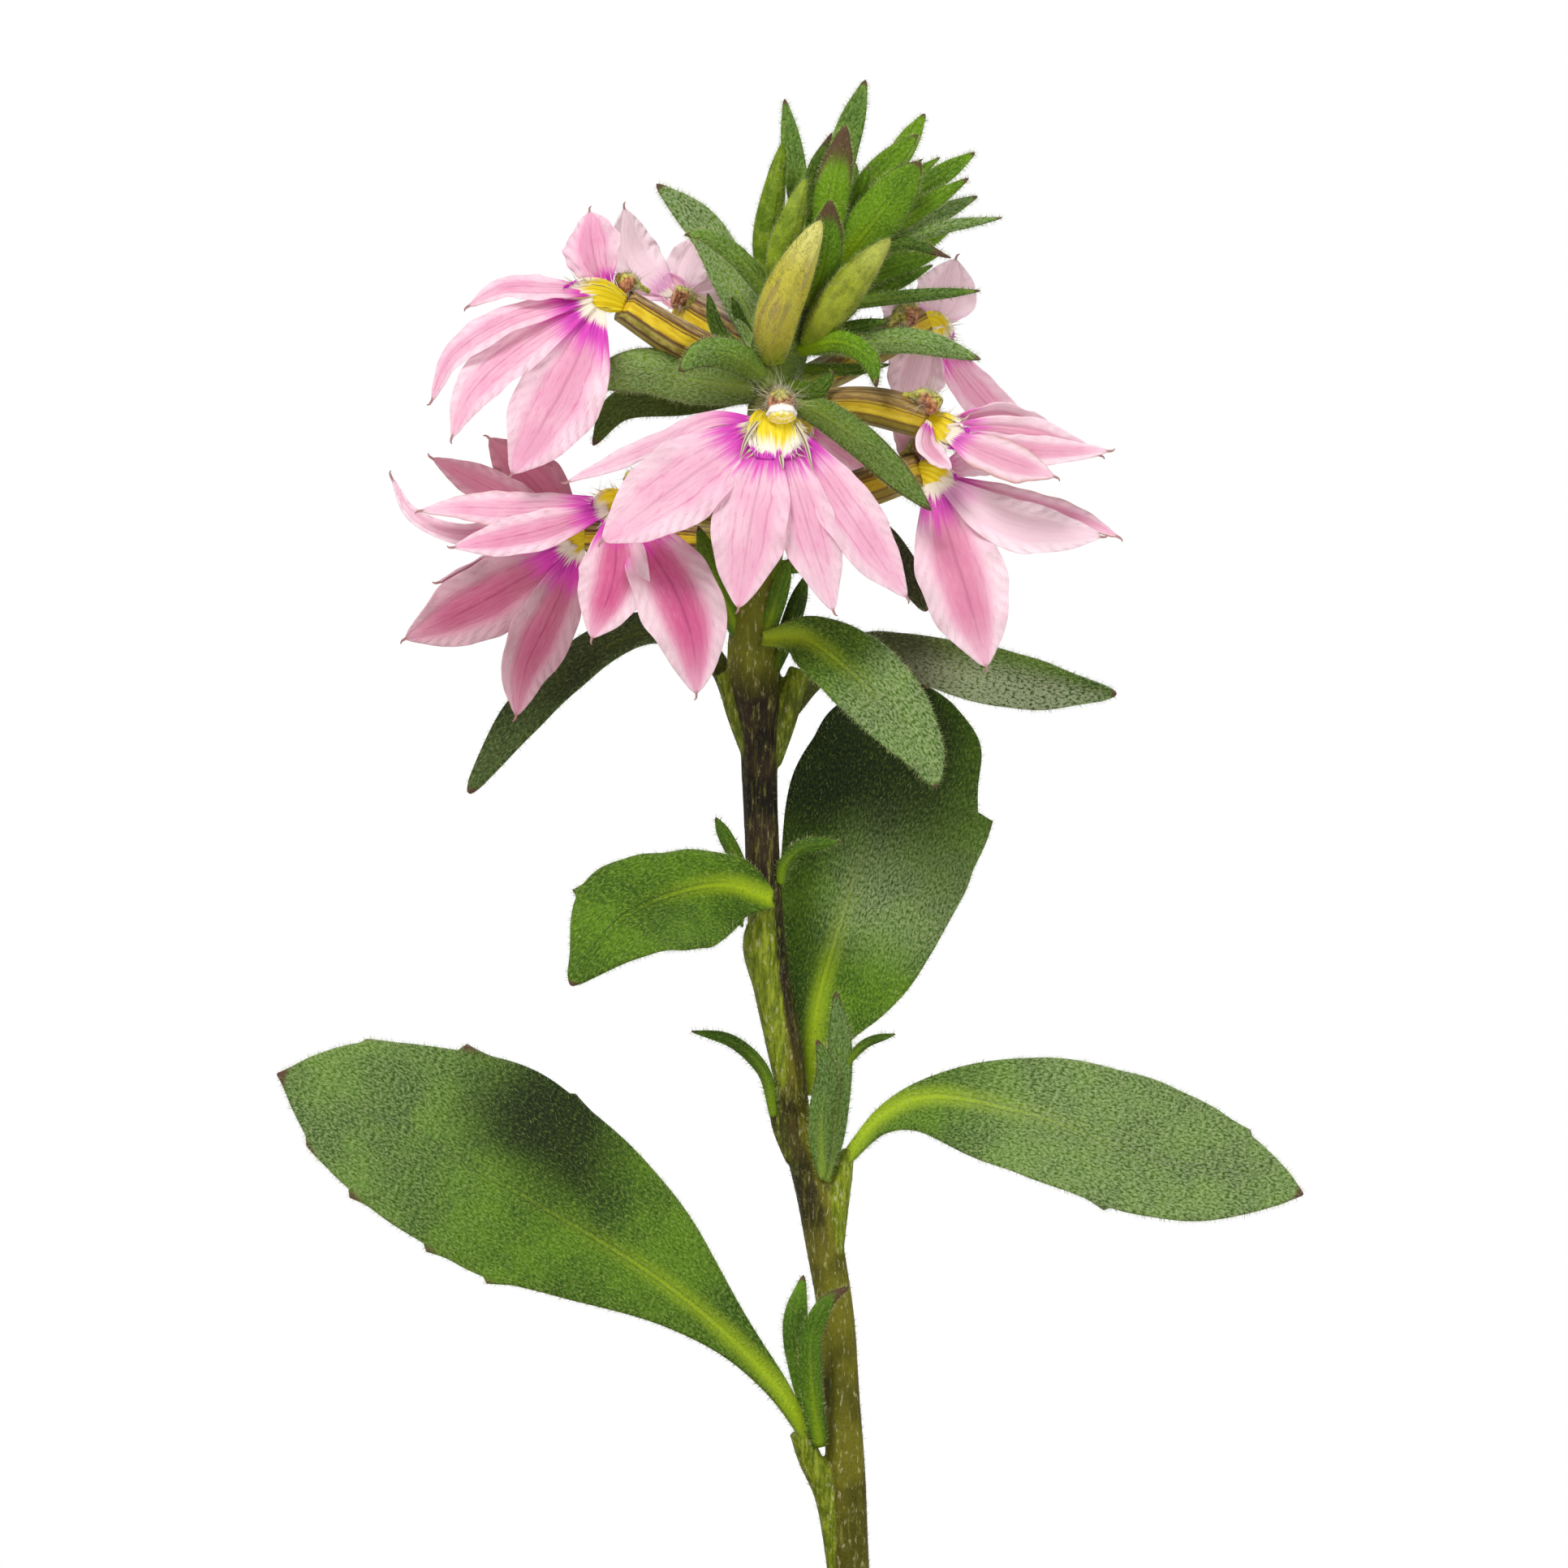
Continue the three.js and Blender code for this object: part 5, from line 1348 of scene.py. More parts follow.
def skin_part(corners, faces):
    """The skin as a part, with what its corners carry worked out from their places round the stem."""
    along = np.linspace(0, 1, STEM_PLACES)
    centre, heading, _, length = smooth_line(np.array(STEM)[:, :3], along)
    x, y, heights = corners.T
    angle = np.arctan2(x - np.interp(heights, centre[:, 2], centre[:, 0]), -y)
    share = np.interp(heights, centre[:, 2], along)
    lay = np.stack([np.interp(heights, centre[:, 2], heading[:, axis]) for axis in range(3)], axis=1)
    ones = np.ones(len(corners))
    fur = 1 - SHADE_FUR_LOSS * smooth_step(heights, *DARK_BEGINS) * smooth_step(heights, 161, 157)
    return {
        "corners": corners, "faces": faces, "finish": 0,
        "spot": np.stack([np.cos(angle), share, 0 * ones], axis=1),
        "span": np.stack([np.sin(angle), share * length, ones], axis=1),
        "look": np.zeros((len(corners), 3)), "lay": lay, "stain": ridge_share(corners)[:, None],
        "fur": fur[:, None], "face": ones[:, None],
    }


def make_stem():
    stalks = [stalk_of(STEM, STEM_STEPS, stem_relief)]
    stalks += [stalk_of(ridge, RIDGE_STEPS) for ridge in STEM_RIDGES]
    parts = [skin_part(*one_skin(stalks))]
    parts += [make_bract(row, place / len(STEM_BRACTS), finish=1) for place, row in enumerate(STEM_BRACTS)]
    return settle(join_parts("leafy_stem", parts, [stem_finish, shoot_green]), "stem", "stem")


leafy_stem = make_stem()
add_hairs(leafy_stem, stem_hair, "stem", STEM_HAIR_SEED, density=7, length=0.4, width=0.016, lie=0.6,
          tangle=0.5)
print("the stem has", len(leafy_stem.data.polygons), "faces and", hair_faces[-1], "hair faces")

# %% [markdown]
# ## The head of bracts
# Above the open flowers the stem ends in a crowded head: spear-shaped bracts that still shelter closed
# buds. Each bract is a small blade rooted in a green core. A few have purple-brown tips that reach far
# down, some show their grey backs, and some stand in shade, so each row may give its own look and reach
# of stain.

# %% The head of bracts
CORE_STEPS = (30, 32)
# The core sits in painted shade between the bracts, and is a little brown.
CORE_SHADE_LOOK = (0, 0.6, 0.2)
PALER = (0.2, 0.1, 0)
GREYISH = (0.55, 0.1, 0)
SHADED = (0.1, 0.55, 0)
GOLDEN = 0.618
HEAD_HAIR_SEED = 41

HEAD_CORE = [
    [-5.8, 0, 180.6, 1.8], [-5.5, 0, 183.5, 2.1], [-4.4, 0, 187, 2.2], [-2.6, 0.2, 190.2, 1.9],
    [-0.4, 0.4, 193, 1.4], [1.8, 0.6, 195.2, 0.8],
]
HEAD_BRACTS = [
    bract([[-3.2, 0.8, 189.6], [-4, 2.6, 196], [-5, 3.8, 202.7]], 0.85, look=PALER),
    bract([[-1.9, 0.8, 190.8], [-1, 2, 197.5], [1, 2.8, 204.1]], 1.1, look=PALER),
    bract([[-2.6, -0.6, 188.8], [-1.7, -2.6, 194.5], [-0.5, -3.4, 200.6]], 1.3, reach=0.32, rim=0.8),
    bract([[-2.5, 0.2, 190], [-3, -0.6, 196.6], [-1.5, -1.2, 200.1]], 0.55, look=SHADED, reach=0.15),
    bract([[-3.8, -0.8, 186], [-2.2, -3.8, 190.5], [-1.6, -5.4, 195]], 1.3, reach=0.2, rim=1.1),
    bract([[0.2, 0.6, 193], [3.2, 2.6, 198], [5.4, 4.2, 201.6]], 0.9, rim=0.8),
    bract([[-1.6, 0.2, 190.9], [1.4, 0.2, 196.6], [4.9, 0.2, 200]], 0.95, rim=0.8),
    bract([[-1.8, -0.4, 189.4], [1.8, -2.8, 193.8], [5, -4.4, 197.9]], 1.75, rim=0.7),
    bract([[0.2, 0.6, 192.4], [5.4, 1.8, 196.2], [9.1, 2.6, 198.7]], 0.85),
    bract([[-1, 0, 190.9], [4.6, -1.6, 194.2], [8.6, -2.8, 196.7]], 0.7),
    bract([[-1.6, 0.8, 190.2], [4.6, 3.2, 193.3], [9.3, 4.6, 195.5]], 0.8, look=GREYISH),
    bract([[-1.4, -0.4, 189.8], [5.6, -1.6, 192.8], [11.1, -2.4, 193.8]], 0.5, look=GREYISH),
    bract([[-1.6, 0, 189.4], [3.6, -2, 191.9], [7.3, -3.6, 190.8]], 0.45, look=SHADED, reach=0.2),
    bract([[-2, 0.8, 188.2], [2.8, 2, 190.2], [6.5, 2.8, 191.2]], 0.8, look=(0, 0.3, 0)),
    bract([[-2.6, 1, 187.4], [1.8, 3.4, 188.4], [6, 4.8, 190.4]], 0.55, look=(0, 0.3, 0)),
    bract([[-3, -0.4, 187], [3.2, -1.4, 187.9], [9.5, -2.2, 188.4]], 0.5, look=(0.2, 0.4, 0)),
    bract([[-4, -0.6, 184.2], [0.7, -2.4, 184.6], [5, -3.4, 184.6], [9.5, -3.6, 183.3]], 0.95, look=GREYISH),
    bract([[-4.4, -1, 184], [-0.9, -4.6, 184.6], [1.2, -6.2, 183.4], [1.8, -6.8, 181.2]], 0.85, reach=0.08),
    bract([[-3.8, -0.6, 185], [-0.6, -2.4, 185.6], [2.8, -3.2, 186.2]], 0.5, look=SHADED),
    bract([[-4.6, 0.8, 182.8], [0, 1.4, 182.6], [2.8, 1.4, 183]], 0.45, look=SHADED),
    bract([[-6, 0.6, 183], [-8.8, 2.4, 189], [-10.8, 3.4, 192.9], [-14.5, 4, 196.4]], 1.4, look=(0.7, 0, 0),
          reach=0.05),
    bract([[-4.8, -0.8, 186.4], [-8.6, -2.8, 191], [-10.8, -3.8, 192.4], [-12.4, -4.2, 192.5]], 0.75,
          look=(0.3, 0.1, 0)),
    bract([[-6, -1, 181.8], [-9, -4, 183.6], [-11.1, -5, 183.7], [-12.8, -5.2, 182.4]], 1.15,
          look=(0.35, 0.2, 0), rim=0.9),
    bract([[-6.2, -0.6, 181.2], [-11.4, -2.2, 181.7], [-15.4, -2.8, 182.5], [-20, -2.8, 181.6]], 1.75,
          look=(0.55, 0.05, 0.1), reach=0.03, rim=0.8),
    bract([[-6.2, 0.8, 181.4], [-12, 2.4, 180.6], [-17.2, 3.2, 179.9], [-19.2, 3.2, 177]], 1.3,
          look=(0.1, 0.6, 0.3)),
    bract([[-6.2, 0.8, 183], [-9.7, 1.6, 185.2], [-10.7, 1.9, 188.3]], 0.55, look=SHADED),
    bract([[-6, 0.8, 183.8], [-8, 1.5, 185.8], [-8.9, 1.7, 188]], 0.45, look=SHADED),
    bract([[-5.2, -1, 180.8], [-1.6, -5, 178.9], [0.9, -6.6, 177], [3.3, -7.6, 174.7], [5.8, -7.8, 172.1]],
          1.2, look=(0.3, 0.35, 0.15), rim=1.2),
    bract([[-5.2, -1, 181.2], [-2.8, -3.2, 178.9], [-0.9, -4, 178.6]], 0.45, look=SHADED),
    bract([[-5.2, -1, 181.6], [-2.8, -3.6, 181], [-1.3, -4, 182.4]], 0.7, look=SHADED),
    bract([[-0.6, 0.2, 192.4], [0.6, -1, 195.6], [1.2, -1.6, 197.6]], 0.5),
    bract([[0.6, 0.4, 193.6], [3.6, 0.2, 196.2], [6.5, 0.2, 198.3]], 0.45),
    bract([[0.6, 0.8, 193.6], [3, 1.4, 196.2], [5.2, 2, 198.2]], 0.45),
    bract([[-4.8, 1, 184.8], [-6.2, 4.6, 188.6], [-6.4, 7, 192.2]], 1.1, look=PALER),
    bract([[-4, 1, 186.4], [-3.4, 4.4, 191.4], [-3.4, 6.4, 196.4]], 1.3, reach=0.2),
    bract([[-2.6, 1, 188.6], [-0.8, 4.2, 193.4], [0.2, 6, 198]], 1.2),
    bract([[-2.8, 1, 188], [1, 5, 190.6], [3.4, 7.4, 194.2]], 1.2, look=PALER),
    bract([[-4, 1, 185.4], [-0.8, 5, 187.4], [1.2, 8, 190.8]], 1.1),
    bract([[-5.2, 1, 182.8], [-5, 5.6, 184.4], [-5.2, 9, 187.4]], 1.1, reach=0.15),
    bract([[-1.8, 0.8, 189.6], [4, 4.4, 191.6], [7.4, 7.4, 193.2]], 0.8),
]

parts = [stalk_of(HEAD_CORE, CORE_STEPS, look=CORE_SHADE_LOOK)]
parts += [make_bract(row, (GOLDEN * place) % 1) for place, row in enumerate(HEAD_BRACTS)]
bracts_head = settle(join_parts("bracts_head", parts, [bract_green]), "bract", "head")
add_hairs(bracts_head, leaf_hair, "bract", HEAD_HAIR_SEED, density=15, length=0.4, width=0.018, lie=0.6,
          tangle=0.45)
print("the head has", len(bracts_head.data.polygons), "faces and", hair_faces[-1], "hair faces")

# %% [markdown]
# ## Closed buds
# A closed bud is club shaped and furry, a rolled-up flower whose seams still show as low ridges. The
# lowest is about to open, so it is pale and streaked with purple. It is a stalk with five ribs and a
# rounded end.

# %% Closed buds
BUD_SHAPE = [0.62, 0.9, 1.03, 1, 0.82, 0.56, 0.22]
BUD_STEPS = (60, 40)
BUD_RIBS = 5
BUD_ROUND = 0.1
BUD_HAIR_SEED = 50
BUDS = {
    "bud_1": dict(line=[[-5.6, 0.4, 187], [-6.3, 0.4, 191.6], [-5.8, 0.4, 195.6], [-5.1, 0.6, 199.4]],
                  radius=1, look=(0, 0.25, 0)),
    "bud_2": dict(line=[[-4.8, -1, 186.4], [-5.2, -2.6, 190.6], [-4.4, -2.9, 193.8], [-3.4, -2.8, 196.7]],
                  radius=1.05, look=(0.1, 0, 0)),
    "bud_3": dict(line=[[-5.9, -1.6, 183.4], [-5.5, -4.2, 186.6], [-3.9, -5.6, 190.4], [-2.3, -6, 193.5]],
                  radius=1.55, look=(1, 0, 0.9)),
    "bud_4": dict(line=[[-3.2, -1.6, 184.6], [-1.5, -3.8, 187.1], [0.8, -4.8, 190], [2.8, -4.8, 192.2]],
                  radius=1.3, look=(0.35, 0, 0.15)),
}


def make_bud_finish():
    """The three look numbers are how pale, how deep in painted shade and how streaked the bud is."""
    paint = Finish("bud_finish", 0.55, specular=0.2)
    along = paint.carried("spot")[1]
    pale, bud_painted_shade, streaked = paint.carried("look")
    streak = paint.noise(1.4, 3, 0.6, over=paint.vector("span"), stretch=(2.2, 0.22, 2.2))
    cloud = paint.noise(900, 4, 0.7)
    paint.base("5A7802", "839E0E", cloud.fade(*SOFT))
    paint.coat("BBB040", pale * 0.95)
    paint.coat("DAD47C", pale * along.fade(0.6, 0.95) * 0.8)
    paint.coat("7C9A14", along.fade(0.25, 0.02) * 0.7)
    paint.coat("86605A", streaked * streak.fade(0.5, 0.66) * along.fade(1.0, 0.6) * 0.5)
    # Painted shade on buds that sit among the bracts.
    paint.coat("2F4308", bud_painted_shade * 0.8)
    return paint.done(streak + cloud, 0.12, through=0.06)


def round_end(v, share):
    """How much a stalk shrinks over its last share, so that its end is round."""
    return np.sqrt(np.clip(1 - (np.clip(v - (1 - share), 0, 1) / share) ** 2, 0, 1)) - 1


def bud_relief(a, v, radius):
    ribs = 0.05 * np.cos(BUD_RIBS * a + v) + 0.03 * np.cos(11 * a - 2 * v)
    return radius * (ribs + 0.9 * round_end(v, BUD_ROUND))


bud_finish = make_bud_finish()
for seed, (name, bud) in enumerate(BUDS.items()):
    radii = [share * bud["radius"] for share in BUD_SHAPE]
    part = stalk(bud["line"], radii, BUD_STEPS, bud_relief, look=bud["look"], seed=seed / len(BUDS))
    piece = settle(join_parts("closed_" + name, [part], [bud_finish]), "bud", name)
    add_hairs(piece, leaf_hair, "bud", BUD_HAIR_SEED + seed, density=28, length=0.45, width=0.018, lie=0.55,
              tangle=0.4)
print(len(BUDS), "closed buds")

# %% [markdown]
# ## The petal finish
# A lobe is pink, with paler wings on both sides of its firm body. The body may have a strong rosy panel,
# two creases at its borders, thin threads and a dark middle line. At its root the lobe is white, then
# magenta, and the magenta ends in streaks. Its tip is beige. All of it is painted on the across and along
# numbers.

# %% The petal finish
BODY_SHARE = 0.42
PETAL_THROUGH = 0.35
SIDE_VEIN_APART = 1.25
SIDE_VEIN_SLANT = 1.5


def make_petal_finish():
    """The three look numbers are how strong the middle stripe is, how dusky the lobe is from its back's tone
    and painted shade, and how pale it is from its own tone and painted light.
    """
    paint = Finish("petal_finish", 0.55, specular=0.2)
    across, along, _ = paint.carried("spot")
    across_mm, along_mm, _ = paint.carried("span")
    stripe, dusky_back_and_shade, pale = paint.carried("look")
    off, off_mm = abs(across), abs(across_mm)
    streaks = paint.noise(1.0, 3, 0.6, over=paint.vector("spot"), stretch=(7.0, 0.8, 31.0))
    fine = paint.noise(1.6, 4, 0.65, over=paint.vector("span"), stretch=(3.2, 0.6, 0.3))
    bend = paint.noise(1.0, over=paint.vector("span"), stretch=(0.5, 0.5, 3)) - 0.5
    wavy = off + bend * 0.12
    paint.base("F8C4DB", "FCDCE9", paint.noise(220).fade(*SOFT))
    paint.coat("EE8ABC", fine.fade(0.5, 0.72) * 0.45)
    wing = off.fade(BODY_SHARE, BODY_SHARE + 0.35) * along.fade(0.15, 0.5)
    paint.coat("FEF0F4", wing * (0.45 + stripe * 0.3))
    slanted = along_mm - off_mm * SIDE_VEIN_SLANT
    veins = paint.calc("SINE", slanted * (FULL_TURN / SIDE_VEIN_APART) + fine * 9)
    paint.coat("EC9CC2", veins.fade(0.6, 1.0) * wing * 0.18)
    panel = off.fade(BODY_SHARE + 0.3, BODY_SHARE - 0.22) * along.fade(0.05, 0.25) * along.fade(1.05, 0.7)
    paint.coat("DC6098", panel * fine.fade(-0.4, 0.6) * stripe * 1.05)
    crease = wavy.near(BODY_SHARE, 0.05) * along.fade(0.97, 0.5) * fine.fade(0.3, 0.55)
    paint.coat("D8669E", crease * 0.42)
    thread = wavy.near(0.2, 0.03) * along.fade(0.9, 0.4) * fine.fade(0.35, 0.6)
    paint.coat("DB74A8", thread * 0.35)
    middle = off.fade(0.07, 0.0) * along.fade(0.98, 0.6) * fine.fade(0.1, 0.5)
    paint.coat("B8487E", middle * (0.25 + stripe * 0.5))
    # Pale coat: partly the lobe's own paler tone, partly painted light on lobes turned from the lamps.
    paint.coat("FFF2F6", pale * 0.7)
    # Dusky coat: partly the darker tone of a lobe's back, partly painted shade.
    paint.coat("A8405A", dusky_back_and_shade * 0.75)
    uneven = streaks - 0.5
    reach = along + uneven * 0.36
    band = reach.fade(0.3, 0.14) * (1.0 - pale * 0.6)
    paint.coat("EC4ECB", band * 0.95)
    paint.coat("B812B0", reach.fade(0.24, 0.12) * band * streaks.fade(0.42, 0.62) * 0.85)
    paint.coat("FFF8E6", (along + uneven * 0.2).fade(0.1, 0.06))
    tip = along.fade(0.975, 1.0) * 0.6
    paint.coat("C98A78", tip.most(paint.number("stain")))
    return paint.done(fine + veins * wing * 0.25, 0.09, through=PETAL_THROUGH)


petal_finish = make_petal_finish()
print(petal_finish.name, "has", len(petal_finish.node_tree.nodes), "nodes")

# %% [markdown]
# ## Finishes of throat, tube and style
# The throat is bright yellow, turns white further out and ends in a ragged magenta border, with brown
# runs at its sides. Its small folds are cream with a brown line. The tube is tan above, yellow at its
# sides between thin dark lines, and olive below. The style is olive and granular on top and rusty brown
# at its sides.

# %% Finishes of throat, tube and style
TUBE_LINES = ((0.97, 0.02), (0.86, 0.03), (0.68, 0.045), (0.6, 0.02), (0.3, 0.04), (0.12, 0.03))
LINE_SOFTNESS = 1.7


def make_throat_finish():
    """The first two look numbers are whether it is a brown-lined fold, and how pink it is."""
    paint = Finish("throat_finish", 0.5, specular=0.25)
    across, along, _ = paint.carried("spot")
    fold, pink, _ = paint.carried("look")
    off = abs(across)
    streaks = paint.noise(1.0, 3, 0.6, over=paint.vector("spot"), stretch=(8.0, 1.2, 17.0))
    uneven = (streaks - 0.5) * 0.7
    outer = along + across.near(0.2, 0.3) * 0.14 + off * off * 0.3
    paint.base("E9CC08", "F8EA36", streaks.fade(0.38, 0.62))
    paint.coat("FFFAEA", (outer + uneven).fade(0.64, 0.92))
    brown = off.fade(0.35, 0.6) * along.fade(0.1, 0.3) * along.fade(0.95, 0.7)
    paint.coat("6B3348", brown * streaks.fade(0.58, 0.63) * 0.8)
    paint.coat("D23CC6", (outer + uneven * 0.6).fade(0.97, 1.06))
    paint.coat(paint.mixed("FFF8DC", "7A5026", across.near(0.2, 0.6)), fold)
    paint.coat(paint.mixed("F2B3D2", "C23BB4", streaks.fade(0.52, 0.64)), pink)
    return paint.done(streaks, 0.1, through=0.25)


def make_tube_finish():
    """The first two look numbers are how aged and how shaded it is."""
    paint = Finish("tube_finish", 0.5, specular=0.25)
    fibre = paint.noise(2.0, 4, 0.65, over=paint.vector("span"), stretch=(2.4, 0.35, 1.0))
    upward = paint.number("face") + (fibre - 0.5) * 0.07
    paint.base("D6B016", "EBCF30", fibre.fade(*SOFT))
    runs = fibre.fade(0.4, 0.62)
    paint.coat(paint.mixed("8B6A3A", "BB9C63", runs), upward.fade(0.64, 0.72))
    paint.coat(paint.mixed("8C8130", "B7AA55", runs), upward.fade(0.34, 0.26))
    for place, width in TUBE_LINES:
        paint.coat("54262A", upward.near(place, width * LINE_SOFTNESS) * fibre.fade(0.2, 0.42) * 0.9)
    aged, shaded, _ = paint.carried("look")
    paint.coat("8A6E1C", aged * 0.6)
    paint.coat("7E9426", paint.carried("spot")[1].fade(0.32, 0.05) * 0.85)
    paint.coat("3E4A10", shaded * 0.85)
    return paint.done(fibre, 0.12, through=0.1)


def make_style_finish():
    """The first look number is how white its lip is."""
    paint = Finish("style_finish", 0.6, specular=0.2, sheen=0.2)
    along = paint.carried("spot")[1]
    whiteness = paint.carried("look")[0]
    grain = paint.noise(2600, 3, 0.65)
    drift = grain - 0.5
    paint.base("7E4526", "CC8F62", grain.fade(0.4, 0.62))
    top = (paint.number("face") + drift * 0.4).fade(0.72, 0.86).most(along.fade(0.62, 0.5))
    paint.coat(paint.mixed("7C7A1E", "CFC95C", grain.fade(0.38, 0.6)), top)
    uneven = along + drift * 0.05
    paint.coat("FBF6EC", uneven.fade(0.8, 0.82) * whiteness)
    paint.coat(paint.mixed("F0D81C", "FFF6C8", grain.fade(0.4, 0.65)), uneven.fade(0.9, 0.92) * whiteness)
    paint.coat("B59A5C", uneven.near(0.9, 0.012) * whiteness * 0.6)
    return paint.done(grain, 0.15, through=0.05)


throat_finish = make_throat_finish()
tube_finish = make_tube_finish()
style_finish = make_style_finish()
print("flower finishes", throat_finish.name, tube_finish.name, style_finish.name)

# %% [markdown]
# ## Where each open flower stands
# The rows give the lines of every flower's tube, throat, style and five lobes, read off the photograph,
# with the lobes' half widths and leans. Mouth and cup scale the throat and the pollen cup. The look says
# how striped the lobes are, how dusky from their backs' tone and painted shade, and how pale from their own
# tone and painted light, and a lobe may have its own.

# %% Where each open flower stands
def lobe(line, half, lean, look=None, rim=0):
    """A row for a lobe: its half width in millimetres, its lean, its own look, and how stained its rim is."""
    return dict(line=line, half=half, lean=lean, look=look, rim=rim)


